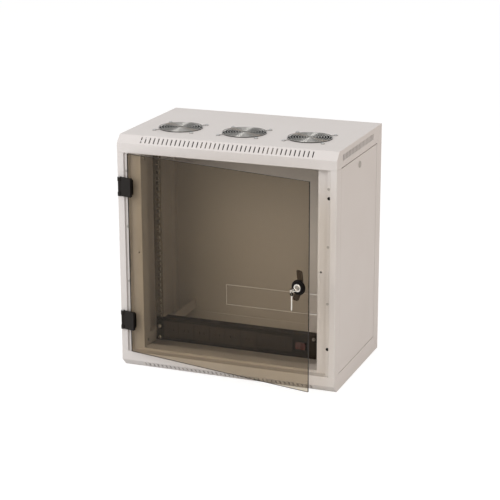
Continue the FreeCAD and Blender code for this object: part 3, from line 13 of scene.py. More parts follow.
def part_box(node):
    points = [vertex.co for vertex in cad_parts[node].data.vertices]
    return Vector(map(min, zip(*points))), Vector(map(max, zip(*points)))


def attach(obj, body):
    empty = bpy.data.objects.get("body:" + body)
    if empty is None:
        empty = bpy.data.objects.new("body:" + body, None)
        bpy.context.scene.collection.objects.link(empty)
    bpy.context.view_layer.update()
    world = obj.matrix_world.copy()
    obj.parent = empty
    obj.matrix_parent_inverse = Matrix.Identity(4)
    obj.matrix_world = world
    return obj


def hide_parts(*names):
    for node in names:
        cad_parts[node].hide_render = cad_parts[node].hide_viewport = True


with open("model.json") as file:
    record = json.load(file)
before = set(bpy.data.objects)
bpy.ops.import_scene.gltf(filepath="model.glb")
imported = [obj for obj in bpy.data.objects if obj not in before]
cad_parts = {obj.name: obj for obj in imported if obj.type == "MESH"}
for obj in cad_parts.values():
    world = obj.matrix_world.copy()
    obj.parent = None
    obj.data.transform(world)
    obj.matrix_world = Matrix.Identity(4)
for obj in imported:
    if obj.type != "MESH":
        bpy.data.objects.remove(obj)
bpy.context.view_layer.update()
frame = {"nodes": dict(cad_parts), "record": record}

MM = 0.001
FACING_FRONT = Matrix.Rotation(math.pi / 2, 4, "X")
TO_RIGHT = Vector((1.0, 0.0, 0.0))
TO_FRONT = Vector((0.0, -1.0, 0.0))
UPWARD = Vector((0.0, 0.0, 1.0))
LOG = logging.getLogger("rack_cabinet")
WHITE = (1.0, 1.0, 1.0, 1.0)
Profile = list[tuple[float, float]]
Place = tuple[float, float, float]
# Points of a CAD mesh closer than these are one point, in a copy and in the search for separate solids
COPY_WELD_MM = 0.005
SOLID_WELD_MM = 0.01
# Triangles of a CAD mesh that turn less than this are one flat face
FLAT_DEG = 0.6
# Shorter edges that a rounding leaves are closed up
LEAST_EDGE_MM = 0.02
# Points round a turned piece, where nothing else is given
ROUND_STEPS = 32
BODY_OF = {
    node: body for body, nodes in frame["record"]["behaviour"]["bodies"].items() for node in nodes
}


def linear(code: str, alpha: float = 1.0) -> tuple[float, float, float, float]:
    """Turn an sRGB hex colour into linear light.

    Args:
        code: Colour as six hex digits after a hash.
        alpha: Fourth value of the result.

    Returns:
        Red, green, blue and alpha.
    """
    values = [int(code[start:start + 2], 16) / 255 for start in (1, 3, 5)]
    red, green, blue = (v / 12.92 if v <= 0.04045 else ((v + 0.055) / 1.055) ** 2.4 for v in values)
    return red, green, blue, alpha


def per_metre(size_mm: float) -> float:
    """Give a texture's scale for features of a size in millimetres."""
    return 1 / (size_mm * MM)


def add_node(
    tree: bpy.types.NodeTree,
    kind: str,
    settings: dict[str | int, object] | None = None,
    links: dict[str | int, bpy.types.NodeSocket] | None = None,
) -> bpy.types.Node:
    """Add a node with its settings and links.

    Args:
        tree: Node tree that gets the node.
        kind: Blender's name of the node.
        settings: Properties by lower-case name, and input values by their own name or number.
        links: Sockets to link, by the name or number of the input.

    Returns:
        The new node.
    """
    node = tree.nodes.new(kind)
    for name, value in (settings or {}).items():
        if isinstance(name, str) and name.islower():
            setattr(node, name, value)
        else:
            node.inputs[name].default_value = value
    for name, socket in (links or {}).items():
        tree.links.new(socket, node.inputs[name])
    return node


def new_material(name: str) -> bpy.types.Material:
    """Make a material with an empty node tree.

    Args:
        name: Name of the material.

    Returns:
        The new material.
    """
    made = bpy.data.materials.new(name)
    made.use_nodes = True
    made.node_tree.nodes.clear()
    return made


class Texture(Enum):
    """How a finish breaks up its surface."""

    PEEL = "sprayed orange peel"
    GRAIN = "moulded grain"
    BRUSHED = "drawn lines"
    SMOOTH = "polished"


# Numbers of a Mix node's sockets for colours
MIX_FACTOR, MIX_FIRST, MIX_SECOND, MIX_RESULT = 0, 6, 7, 2
# Finer levels of the noise for the patches, and for each kind of relief
PATCH_DETAIL = 3.0
RELIEF_DETAIL = {Texture.PEEL: 1.0, Texture.GRAIN: 5.0, Texture.BRUSHED: 4.0, Texture.SMOOTH: 2.0}
# Drawn lines are noise that is stretched along Y
BRUSH_STRETCH = (1.0, 0.04, 1.0)
COAT_ROUGHNESS = 0.1


@dataclass(frozen=True)
class Finish:
    """An opaque finish: a colour that drifts a little, a roughness that varies and a fine relief.

    Attributes:
        name: Material name, for the real material and how its surface was made.
        slot: The record's material slot; not used.
        colour: Main colour, sRGB hex.
        drift: Second colour that patches of the surface lean to, sRGB hex.
        patch_mm: Size of those patches.
        metallic: 1 for bare metal.
        roughness: Lowest and highest roughness.
        grain_mm: Size of the fine relief.
        relief_mm: Depth of the fine relief.
        texture: Kind of relief.
        specular: Specular level, 0.5 for common plastics and paints.
        coat: Weight of a clear coat.
    """

    name: str
    slot: str
    colour: str
    drift: str
    patch_mm: float
    metallic: float
    roughness: tuple[float, float]
    grain_mm: float
    relief_mm: float
    texture: Texture
    specular: float = 0.5
    coat: float = 0.0

    def material(self) -> bpy.types.Material:
        """Make the finish's material.

        Returns:
            The material, which is made only once.
        """
        known = bpy.data.materials.get(self.name)
        if known:
            return known
        made = new_material(self.name)
        tree = made.node_tree
        place = add_node(tree, "ShaderNodeTexCoord").outputs["Object"]
        patches = add_node(
            tree,
            "ShaderNodeTexNoise",
            {"Scale": per_metre(self.patch_mm), "Detail": PATCH_DETAIL},
            {"Vector": place},
        )
        tint = add_node(
            tree,
            "ShaderNodeMix",
            {"data_type": "RGBA", MIX_FIRST: linear(self.colour), MIX_SECOND: linear(self.drift)},
            {MIX_FACTOR: patches.outputs["Fac"]},
        )
        relief = self.relief(tree, place)
        low, high = self.roughness
        shine = add_node(
            tree, "ShaderNodeMapRange", {"To Min": low, "To Max": high}, {"Value": relief.outputs["Fac"]}
        )
        bump = add_node(
            tree,
            "ShaderNodeBump",
            {"Strength": 1.0, "Distance": self.relief_mm * MM},
            {"Height": relief.outputs["Fac"]},
        )
        shader = add_node(
            tree,
            "ShaderNodeBsdfPrincipled",
            {
                "Metallic": self.metallic,
                "Specular IOR Level": self.specular,
                "Coat Weight": self.coat,
                "Coat Roughness": COAT_ROUGHNESS,
            },
            {
                "Base Color": tint.outputs[MIX_RESULT],
                "Roughness": shine.outputs["Result"],
                "Normal": bump.outputs["Normal"],
            },
        )
        add_node(tree, "ShaderNodeOutputMaterial", links={"Surface": shader.outputs["BSDF"]})
        made.diffuse_color = linear(self.colour)
        return made

    def relief(self, tree: bpy.types.NodeTree, place: bpy.types.NodeSocket) -> bpy.types.Node:
        """Add the texture that gives the fine relief.

        Args:
            tree: Node tree of the material.
            place: Where on the piece the texture is read.

        Returns:
            A node with a Fac output.
        """
        if self.texture is Texture.BRUSHED:
            stretch = add_node(tree, "ShaderNodeMapping", {"Scale": BRUSH_STRETCH}, {"Vector": place})
            place = stretch.outputs["Vector"]
        settings = {"Scale": per_metre(self.grain_mm), "Detail": RELIEF_DETAIL[self.texture]}
        return add_node(tree, "ShaderNodeTexNoise", settings, {"Vector": place})


@dataclass(frozen=True)
class PaneFinish:
    """Tinted float glass with ground edges.

    Attributes:
        name: Material name.
        slot: The record's material slot; not used.
        tint: Colour that the whole pane lets through, sRGB hex.
        lamp_tint: Colour that lamps keep at each of the pane's two faces, sRGB hex.
        index: Refractive index.
        cover: How much the pane hides in a view without materials.
    """

    name: str
    slot: str
    tint: str
    lamp_tint: str
    index: float
    cover: float = 0.35

    def material(self) -> bpy.types.Material:
        """Make the glass, which lets lamps through as light of its own colour.

        Returns:
            The material, which is made only once.
        """
        known = bpy.data.materials.get(self.name)
        if known:
            return known
        made = new_material(self.name)
        tree = made.node_tree
        glass = add_node(
            tree,
            "ShaderNodeBsdfPrincipled",
            {
                "Base Color": linear(self.tint),
                "Roughness": 0.0,
                "IOR": self.index,
                "Transmission Weight": 1.0,
            },
        )
        clear = add_node(tree, "ShaderNodeBsdfTransparent", {"Color": linear(self.lamp_tint)})
        path = add_node(tree, "ShaderNodeLightPath")
        choice = add_node(
            tree,
            "ShaderNodeMixShader",
            links={
                0: path.outputs["Is Shadow Ray"],
                1: glass.outputs["BSDF"],
                2: clear.outputs["BSDF"],
            },
        )
        add_node(tree, "ShaderNodeOutputMaterial", links={"Surface": choice.outputs["Shader"]})
        made.diffuse_color = linear(self.tint, self.cover)
        return made


# Sprayed epoxy-polyester powder on sheet steel: an even satin with a soft orange peel. The real peel is
# about 1 mm, which is drawn at 3 mm so that it shows.
POWDER_COAT = Finish(
    "powder_coated_sheet_steel", "powder_coat", "#D6D1CE", "#D0CAC6", 140, 0.0, (0.42, 0.54), 3.0, 0.012,
    Texture.PEEL
)
# Bright zinc plating on rolled steel: grey, a little blue, cloudy from the bath.
ZINC_PLATE = Finish(
    "zinc_plated_steel", "zinc_steel", "#B4B4B2", "#9FA1A2", 18, 1.0, (0.3, 0.5), 2.0, 0.01, Texture.GRAIN
)
# Zinc plating passivated dark on the rolled rails: grey-brown and duller than on the fasteners.
DARK_ZINC_PLATE = Finish(
    "passivated_zinc_plated_steel", "zinc_steel", "#8C857B", "#7B746B", 22, 0.6, (0.38, 0.55), 2.0, 0.01,
    Texture.GRAIN
)
# Nickel plating on turned brass: warm, bright and nearly smooth.
NICKEL_PLATE = Finish(
    "nickel_plated_brass", "nickel", "#D8D4CD", "#C8C4BC", 9, 1.0, (0.14, 0.26), 1.0, 0.003, Texture.SMOOTH
)
# Nickel plating on a die-cast plug and on the earth terminal, darkened grey as painted shade: the colour is
# dimmed below the bright plate so that the terminal reads as shaded.
SHADED_CAST_NICKEL = Finish(
    "nickel_plated_casting_painted_shade", "nickel", "#8F8981", "#7E7972", 6, 1.0, (0.3, 0.45), 0.8, 0.01,
    Texture.GRAIN
)
# Chrome on drawn wire: a clean mirror, only dulled by fine drawing marks.
CHROME_WIRE = Finish(
    "chromed_steel_wire", "guard_wire", "#A8A6A2", "#9C9A96", 20, 1.0, (0.1, 0.18), 1.5, 0.003, Texture.SMOOTH
)
# Black e-coat on sheet steel: thin, dark and satin.
BLACK_COAT = Finish(
    "black_coated_steel", "black_steel", "#211911", "#271E16", 60, 0.0, (0.42, 0.55), 2.0, 0.01,
    Texture.PEEL, 0.25
)
# Black glass-filled nylon, moulded in a spark-eroded tool: fine matt grain.
BLACK_NYLON = Finish(
    "moulded_black_nylon", "black_plastic", "#120E0B", "#18130F", 30, 0.0, (0.5, 0.66), 1.6, 0.04,
    Texture.GRAIN, 0.25
)
# Black polyester fan mouldings: deep black and very matt, so that little light comes back from the fan.
BLACK_POLYESTER = Finish(
    "moulded_black_polyester", "black_plastic", "#070707", "#0B0B0B", 30, 0.0, (0.66, 0.8), 1.6, 0.04,
    Texture.GRAIN, 0.1
)
# Black acetal lock rose: moulded in a polished tool, deep black with a faint gloss.
BLACK_ACETAL = Finish(
    "polished_black_acetal", "black_plastic", "#0D0A08", "#130F0C", 20, 0.0, (0.3, 0.42), 1.5, 0.004,
    Texture.SMOOTH, 0.08
)
# Dark polycarbonate outlet blocks: moulded, slightly glossier than the nylon.
DARK_POLYCARBONATE = Finish(
    "moulded_dark_polycarbonate", "module_plastic", "#33291F", "#3B3026", 40, 0.0, (0.28, 0.4), 1.5, 0.01,
    Texture.GRAIN, 0.4
)
# Red polycarbonate rocker: glossy moulding.
RED_POLYCARBONATE = Finish(
    "moulded_red_polycarbonate", "switch_red", "#4A1A14", "#58211A", 12, 0.0, (0.16, 0.26), 1.5, 0.005,
    Texture.SMOOTH, 0.5, 0.2
)
# Stacked electrical steel with varnished copper: dull and brownish.
STATOR_STACK = Finish(
    "varnished_stator_stack", "stator_iron", "#6B4A33", "#8A5B37", 4, 0.6, (0.4, 0.6), 0.8, 0.1, Texture.GRAIN
)
# Pale translucent silicone buffers: soft, matt and milky.
SILICONE_RUBBER = Finish(
    "moulded_pale_silicone", "buffer_rubber", "#A39E99", "#ADA8A3", 6, 0.0, (0.5, 0.65), 0.8, 0.02,
    Texture.GRAIN
)
# Rolled aluminium foil label on the fan hub: pale metal with drawn lines.
FOIL = Finish(
    "rolled_aluminium_foil", "guard_wire", "#D8D6D2", "#CAC8C4", 15, 1.0, (0.28, 0.45), 1.5, 0.006,
    Texture.BRUSHED
)
# Bronzed steel latch bar: dark brown, satin.
BRONZED_STEEL = Finish(
    "bronzed_steel", "black_steel", "#40342A", "#4A3C2E", 14, 0.3, (0.38, 0.52), 1.5, 0.008,
    Texture.GRAIN, 0.4
)
# Die-cast lock face left raw: dull grey, a little darker than the paint around it.
RAW_CASTING = Finish(
    "raw_zinc_casting", "nickel", "#B5AFA9", "#A8A29C", 5, 0.4, (0.42, 0.58), 0.8, 0.02, Texture.GRAIN
)
# Ground edge of the bronze pane: matt, and dark because the light runs along the tinted glass.
GROUND_EDGE = Finish(
    "ground_bronze_glass_edge", "tinted_glass", "#1E1A15", "#28231C", 8, 0.0, (0.52, 0.66), 0.8, 0.01,
    Texture.GRAIN, 0.2
)
# Bronze body-tinted float glass, low in glare: clear, even and brown.
BRONZE_GLASS = PaneFinish("bronze_tinted_float_glass", "tinted_glass", "#CDC4B4", "#CAC6BF", 1.19)


def smooth(piece: bpy.types.Object, sharp_deg: float = 32.0, broad_mm2: float = 150.0) -> None:
    """Shade a piece smooth, with its flat faces kept flat.

    Args:
        piece: Mesh object.
        sharp_deg: Edges that turn more than this stay sharp.
        broad_mm2: Faces larger than this are shaded flat.
    """
    piece.data.shade_smooth()
    piece.data.set_sharp_from_angle(angle=math.radians(sharp_deg))
    for face in piece.data.polygons:
        if face.area > broad_mm2 * MM * MM:
            face.use_smooth = False
    flat = piece.modifiers.new("flat_faces", "WEIGHTED_NORMAL")
    flat.keep_sharp = True


def add_piece(name: str, mesh: bmesh.types.BMesh, finish: Finish | PaneFinish, body: str) -> bpy.types.Object:
    """Turn a mesh into a piece that rides on a body.

    Args:
        name: Name of the piece.
        mesh: Its shape, which is freed.
        finish: Its finish.
        body: Body that it moves with.

    Returns:
        The new object.
    """
    data = bpy.data.meshes.new(name)
    mesh.to_mesh(data)
    mesh.free()
    piece = bpy.data.objects.new(name, data)
    bpy.context.scene.collection.objects.link(piece)
    data.materials.append(finish.material())
    smooth(piece)
    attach(piece, body)
    LOG.info("%s rides on %s", name, body)
    return piece


def scaled(outline: tuple[tuple[float, float], ...], reach: float, rise: float) -> Profile:
    """Give an outline its size.

    Args:
        outline: Points as shares of the radius and the height.
        reach: The radius.
        rise: The height.

    Returns:
        Radius and height of each point.
    """
    return [(reach * across, rise * up) for across, up in outline]


def add_ring(mesh: bmesh.types.BMesh, radius: float, height: float, steps: int) -> list[bmesh.types.BMVert]:
    """Add the points of a level ring about the Z axis.

    Args:
        mesh: Mesh that gets the points.
        radius: Radius of the ring.
        height: Its level.
        steps: Number of points.

    Returns:
        The new points.
    """
    turns = [2 * math.pi * step / steps for step in range(steps)]
    return [mesh.verts.new((radius * math.cos(a), radius * math.sin(a), height)) for a in turns]


def join_rings(
    mesh: bmesh.types.BMesh, lower: list[bmesh.types.BMVert], upper: list[bmesh.types.BMVert]
) -> None:
    """Close the wall between two rings.

    Args:
        mesh: Mesh that gets the faces.
        lower: Points of one ring.
        upper: As many points of the other ring.
    """
    for step in range(len(lower)):
        after = (step + 1) % len(lower)
        mesh.faces.new((lower[step], lower[after], upper[after], upper[step]))


def ring_edges(mesh: bmesh.types.BMesh, ring: list[bmesh.types.BMVert]) -> list[bmesh.types.BMEdge]:
    """List the edges round a ring that already has faces.

    Args:
        mesh: Mesh of the ring.
        ring: Its points.

    Returns:
        The edges.
    """
    return [mesh.edges.get((ring[step], ring[(step + 1) % len(ring)])) for step in range(len(ring))]


def turned(mesh: bmesh.types.BMesh, profile: Profile, steps: int = ROUND_STEPS) -> list[bmesh.types.BMVert]:
    """Turn a profile about the Z axis, closed at its lower end.

    Args:
        mesh: Mesh that gets the shape.
        profile: Radius and height of each ring, from the lower end to the upper one.
        steps: Points in each ring.

    Returns:
        The points of the last ring.
    """
    rings = [add_ring(mesh, radius, height, steps) for radius, height in profile]
    for lower, upper in zip(rings, rings[1:]):
        join_rings(mesh, lower, upper)
    mesh.faces.new(list(reversed(rings[0])))
    return rings[-1]


def add_turned(
    name: str,
    profiles: list[tuple[Profile, int]],
    place: Matrix,
    finish: Finish,
    body: str,
) -> None:
    """Add a piece that is turned about one axis.

    Args:
        name: Name of the piece.
        profiles: Each closed profile with the points in its rings.
        place: Where the axis, drawn along Z, goes.
        finish: Finish of the piece.
        body: Body that it moves with.
    """
    mesh = bmesh.new()
    for profile, steps in profiles:
        mesh.faces.new(turned(mesh, profile, steps))
    bmesh.ops.transform(mesh, matrix=place, verts=mesh.verts)
    bmesh.ops.recalc_face_normals(mesh, faces=mesh.faces)
    add_piece(name, mesh, finish, body)


def islands(node: str) -> list[list[Vector]]:
    """Find the separate solids of a CAD node.

    Args:
        node: Name of the node.

    Returns:
        The points of each solid.
    """
    mesh = bmesh.new()
    mesh.from_mesh(frame["nodes"][node].data)
    bmesh.ops.remove_doubles(mesh, verts=mesh.verts, dist=SOLID_WELD_MM * MM)
    left = set(mesh.verts)
    found = []
    while left:
        ahead = [left.pop()]
        solid = []
        while ahead:
            point = ahead.pop()
            solid.append(point.co.copy())
            for edge in point.link_edges:
                other = edge.other_vert(point)
                if other in left:
                    left.remove(other)
                    ahead.append(other)
        found.append(solid)
    mesh.free()
    return found


# Outlines of fasteners, as shares of a head's or nut's radius and height
PAN_HEAD = ((1.0, 0.0), (1.0, 0.4), (0.94, 0.68), (0.8, 0.88), (0.62, 0.98))
DOME_TOP = ((0.3, 1.0), (0.08, 1.0))
NUT_OUTSIDE = ((0.9, 0.0), (1.0, 0.12), (1.0, 0.88), (0.9, 1.0))
NUT_SIDES = 6
# A shank's pointed end, as a share of its radius, and at most this share of its length
TIP_SHARE = 0.6
TIP_MOST = 0.3
# The cross recess: arms and slots as shares of the head's radius, depth as a share of its height
CROSS_ARM = 0.5
CROSS_SLOT = 0.13
CROSS_TAPER = 0.8
CROSS_FLOOR = 0.35
# Points of a CAD fastener beyond the first share of its radius are its head, within the second its shank
RIM_SHARE = 0.97
SHANK_SHARE = 0.9


class Head(Enum):
    """What a fastener shows."""

    CROSS = "pan head with a cross recess"
    DOME = "domed rivet head"
    HEXAGON = "six-sided nut"


@dataclass(frozen=True)
class Fasteners:
    """The fasteners of one CAD node, modelled with their heads.

    Attributes:
        node: CAD node that they stand for.
        head: What each one shows.
        outward: Direction from the shank to the head.
        finish: Their finish.
    """

    node: str
    head: Head
    outward: Vector
    finish: Finish

    def build(self) -> None:
        """Make every fastener of the node in one piece."""
        mesh = bmesh.new()
        for points in islands(self.node):
            self.add_one(mesh, points)
        bmesh.ops.recalc_face_normals(mesh, faces=mesh.faces)
        piece = add_piece(f"{self.node}_turned", mesh, self.finish, BODY_OF[self.node])
        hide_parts(self.node)

    def add_one(self, mesh: bmesh.types.BMesh, points: list[Vector]) -> None:
        """Add one fastener where a CAD solid is.

        Args:
            mesh: Mesh that gets the fastener.
            points: Points of the CAD solid.
        """
        out = self.outward.normalized()
        heights = [point.dot(out) for point in points]
        low, high = min(heights), max(heights)
        middle = sum((p - p.dot(out) * out for p in points), Vector()) / len(points)
        reaches = [(point - point.dot(out) * out - middle).length for point in points]
        widest = max(reaches)
        rim = [h for h, r in zip(heights, reaches) if r > RIM_SHARE * widest]
        slim = [r for r in reaches if r < SHANK_SHARE * widest]
        seat, top = min(rim), max(rim)
        shank = max(slim) if slim else widest / 2
        before = set(mesh.verts)
        if self.head is Head.HEXAGON:
            self.add_nut(mesh, widest, shank, high - low)
            seat = low
        else:
            self.add_screw(mesh, widest, shank, top - seat, seat - low)
        added = [vert for vert in mesh.verts if vert not in before]
        turn = out.to_track_quat("Z", "Y").to_matrix().to_4x4()
        bmesh.ops.transform(mesh, matrix=Matrix.Translation(middle + seat * out) @ turn, verts=added)

    def add_screw(
        self, mesh: bmesh.types.BMesh, reach: float, shank: float, rise: float, length: float
    ) -> None:
        """Add a screw or rivet that stands on its seat at the origin.

        Args:
            mesh: Mesh that gets the screw.
            reach: Radius of the head.
            shank: Radius of the shank.
            rise: Height of the head.
            length: Length of the shank.
        """
        tip = min(TIP_SHARE * shank, TIP_MOST * length)
        profile = [(TIP_SHARE * shank, -length), (shank, tip - length), (shank, 0.0)]
        profile += scaled(PAN_HEAD, reach, rise)
        if self.head is Head.DOME:
            mesh.faces.new(turned(mesh, profile + scaled(DOME_TOP, reach, rise)))
            return
        rim = turned(mesh, profile)
        top = profile[-1][1]
        arm, slot = CROSS_ARM * reach, CROSS_SLOT * reach
        corners = [(slot, arm), (slot, slot), (arm, slot)]
        outline = []
        for quarter in range(4):
            turn = Matrix.Rotation(-math.pi / 2 * quarter, 2)
            outline += [turn @ Vector(corner) for corner in corners]
        edge = [mesh.verts.new((x, y, top)) for x, y in outline]
        floor = [mesh.verts.new((CROSS_TAPER * x, CROSS_TAPER * y, CROSS_FLOOR * rise)) for x, y in outline]
        join_rings(mesh, edge, floor)
        mesh.faces.new(floor)
        loops = ring_edges(mesh, rim) + ring_edges(mesh, edge)
        bmesh.ops.triangle_fill(mesh, edges=loops, use_beauty=True, use_dissolve=False)

    def add_nut(self, mesh: bmesh.types.BMesh, reach: float, bore: float, rise: float) -> None:
        """Add a six-sided nut with chamfered corners that stands on the origin.

        Args:
            mesh: Mesh that gets the nut.
            reach: Radius over its corners.
            bore: Radius of its hole.
            rise: Its height.
        """
        profile = scaled(NUT_OUTSIDE, reach, rise) + [(bore, rise), (bore, 0.0)]
        rings = [add_ring(mesh, radius, height, NUT_SIDES) for radius, height in profile]
        for lower, upper in zip(rings, rings[1:] + rings[:1]):
            join_rings(mesh, lower, upper)


def clean_copy(node: str) -> bmesh.types.BMesh:
    """Copy a CAD node's mesh with its triangles joined into flat faces.

    Args:
        node: Name of the node.

    Returns:
        The copy.
    """
    mesh = bmesh.new()
    mesh.from_mesh(frame["nodes"][node].data)
    bmesh.ops.remove_doubles(mesh, verts=mesh.verts, dist=COPY_WELD_MM * MM)
    bmesh.ops.dissolve_limit(
        mesh,
        angle_limit=math.radians(FLAT_DEG),
        use_dissolve_boundaries=False,
        verts=mesh.verts,
        edges=mesh.edges,
    )
    return mesh


def bevel(mesh: bmesh.types.BMesh, edges: list[bmesh.types.BMEdge], width_mm: float, segments: int) -> None:
    """Round or break edges of a mesh.

    Args:
        mesh: Mesh that is changed.
        edges: The edges.
        width_mm: How far the rounding reaches into each face.
        segments: Steps across it, 1 for a plain chamfer.
    """
    bmesh.ops.bevel(
        mesh,
        geom=edges,
        offset=width_mm * MM,
        offset_type="OFFSET",
        segments=segments,
        profile=0.5,
        affect="EDGES",
        clamp_overlap=True,
    )


@dataclass(frozen=True)
class Rounding:
    """Rounded outer edges, as folding, moulding or grinding leaves them.

    Attributes:
        radius_mm: Radius of the rounding.
        segments: Steps round each edge.
        least_face_mm2: An edge is rounded only where both faces are at least this large.
        least_turn_deg: An edge that turns less than this stays.
        least_width_mm: An edge of a strip that is narrower than this stays.
    """

    radius_mm: float
    segments: int = 3
    least_face_mm2: float = 0.0
    least_turn_deg: float = 25.0
    least_width_mm: float = 0.0

    def takes(self, edge: bmesh.types.BMEdge) -> bool:
        """Tell whether an edge is an outer edge that gets rounded.

        Args:
            edge: An edge of the copy.

        Returns:
            True if it gets rounded.
        """
        if len(edge.link_faces) != 2 or not edge.is_convex:
            return False
        if edge.calc_face_angle(0.0) < math.radians(self.least_turn_deg):
            return False
        return all(self.is_broad(face) for face in edge.link_faces)

    def is_broad(self, face: bmesh.types.BMFace) -> bool:
        """Tell whether a face is large and wide enough for rounded edges.

        Args:
            face: A face of the copy.

        Returns:
            True if it is.
        """
        area = face.calc_area()
        width = 2 * area / sum(edge.calc_length() for edge in face.edges)
        return area > self.least_face_mm2 * MM * MM and width > self.least_width_mm * MM

    def copy_of(self, node: str, finish: Finish | PaneFinish) -> bpy.types.Object:
        """Make a rounded piece that stands for a CAD node.

        Args:
            node: Name of the CAD node.
            finish: Finish of the piece.

        Returns:
            The new piece.
        """
        mesh = clean_copy(node)
        bevel(mesh, [edge for edge in mesh.edges if self.takes(edge)], self.radius_mm, self.segments)
        bmesh.ops.dissolve_degenerate(mesh, dist=LEAST_EDGE_MM * MM, edges=mesh.edges)
        piece = add_piece(f"{node}_rounded", mesh, finish, BODY_OF[node])
        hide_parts(node)
        return piece


@dataclass
class SubAssembly:
    """CAD nodes that belong together, with what each one wears.

    Attributes:
        finishes: Finish of each node.
        roundings: Rounding of the nodes that show their edges.
    """

    finishes: dict[str, Finish | PaneFinish] = field(default_factory=dict)
    roundings: dict[str, Rounding] = field(default_factory=dict)

    def dress(self) -> None:
        """Give every node its finish, on a rounded copy where it has one."""
        for node, finish in self.finishes.items():
            if node in self.roundings:
                self.roundings[node].copy_of(node, finish)
                continue
            piece = frame["nodes"][node]
            piece.data.materials.clear()
            piece.data.materials.append(finish.material())
            LOG.info("%s: %s", node, finish.name)

    def build(self) -> None:
        """Add the pieces that are modelled anew, if there are any."""


# Folds of the roof and base pans, and the tighter folds of posts and side panels
FOLD = Rounding(2.6, 3, 900.0, least_width_mm=3.0)
SHEET_FOLD = Rounding(1.6, 2, 500.0, least_width_mm=4.0)


# Outlines of turned pieces, as shares of their radius and height
PLUG_STEM = ((0.8, -1.0), (1.0, -0.8), (1.0, 0.0))
PLUG_CAP = ((1.0, 0.0), (1.0, 0.35), (0.85, 0.8), (0.5, 1.0), (0.1, 1.0))
TERMINAL_WASHER = ((1.1, 0.0), (1.1, 0.2), (0.5, 0.2))
TERMINAL_NUT = ((0.9, 0.2), (1.0, 0.3), (1.0, 1.0), (0.88, 1.1))
TERMINAL_STUD = ((0.5, 1.0), (0.5, 1.75), (0.4, 1.9))
HUB_LABEL = ((1.0, 0.0), (1.0, 1.0), (0.94, 1.0), (0.91, 0.5), (0.36, 0.5), (0.32, 1.0), (0.06, 1.0))


@dataclass
class Carcass(SubAssembly):
    """Sheet-steel shell: base, roof, rear, posts, sill, header and the door's buffers.

    Attributes:
        plug_x_mm: Place across of the plugs in the right post's spare hinge holes.
        plug_face_mm: Depth of the rebate that they sit in.
        plug_levels_mm: Their heights.
        plug_cap_mm: Radius of their caps.
        plug_stem_mm: Radius of their stems.
        plug_rise_mm: Height of their caps.
        plug_length_mm: Length of their stems.
    """

    plug_x_mm: float = 277.5
    plug_face_mm: float = -182.5
    plug_levels_mm: tuple[float, float] = (118.5, 516.5)
    plug_cap_mm: float = 4.3
    plug_stem_mm: float = 3.8
    plug_rise_mm: float = 1.2
    plug_length_mm: float = 4.0

    def __post_init__(self) -> None:
        """Name the nodes and what they wear."""
        painted = (
            "base_pan", "roof_pan", "rear_panel", "cable_entry_plate", "front_post_left", "front_post_right",
            "front_sill", "front_header",
        )
        self.finishes = {node: POWDER_COAT for node in painted}
        self.finishes["door_buffers"] = SILICONE_RUBBER
        self.roundings = {
            "base_pan": FOLD,
            "roof_pan": FOLD,
            "front_post_left": SHEET_FOLD,
            "front_post_right": SHEET_FOLD,
            "door_buffers": Rounding(0.6, 2),
        }

    def build(self) -> None:
        """Close the spare hinge holes with domed plugs."""
        profile = scaled(PLUG_STEM, self.plug_stem_mm * MM, self.plug_length_mm * MM)
        profile += scaled(PLUG_CAP, self.plug_cap_mm * MM, self.plug_rise_mm * MM)
        body = BODY_OF["front_post_right"]
        for name, level in zip(("lower", "upper"), self.plug_levels_mm):
            centre = Vector((self.plug_x_mm, self.plug_face_mm, level)) * MM
            place = Matrix.Translation(centre) @ FACING_FRONT
            add_turned(f"hole_plug_{name}", [(profile, ROUND_STEPS)], place, BLACK_NYLON, body)


@dataclass
class SidePanels(SubAssembly):
    """The two lift-off side panels and their quarter-turn locks."""

    def __post_init__(self) -> None:
        """Name the nodes and what they wear."""
        self.finishes = {
            "side_panel_left": POWDER_COAT,
            "side_panel_right": POWDER_COAT,
            "side_lock_left": RAW_CASTING,
            "side_lock_right": RAW_CASTING,
        }
        self.roundings = {"side_panel_left": SHEET_FOLD, "side_panel_right": SHEET_FOLD}


@dataclass
class RackFrame(SubAssembly):
    """Depth bars, rack rails and what holds them."""

    def __post_init__(self) -> None:
        """Name the nodes and what they wear."""
        for side in ("left", "right"):
            self.finishes[f"rack_rail_{side}"] = DARK_ZINC_PLATE
            for height in ("lower", "upper"):
                self.finishes[f"depth_bar_{side}_{height}"] = POWDER_COAT
        self.finishes["cage_nuts"] = ZINC_PLATE
        self.finishes["frame_bolts"] = ZINC_PLATE

    def build(self) -> None:
        """Model the nuts and rivets."""
        Fasteners("bar_rivets", Head.DOME, TO_FRONT, DARK_ZINC_PLATE).build()
        Fasteners("frame_nuts", Head.HEXAGON, TO_RIGHT, ZINC_PLATE).build()


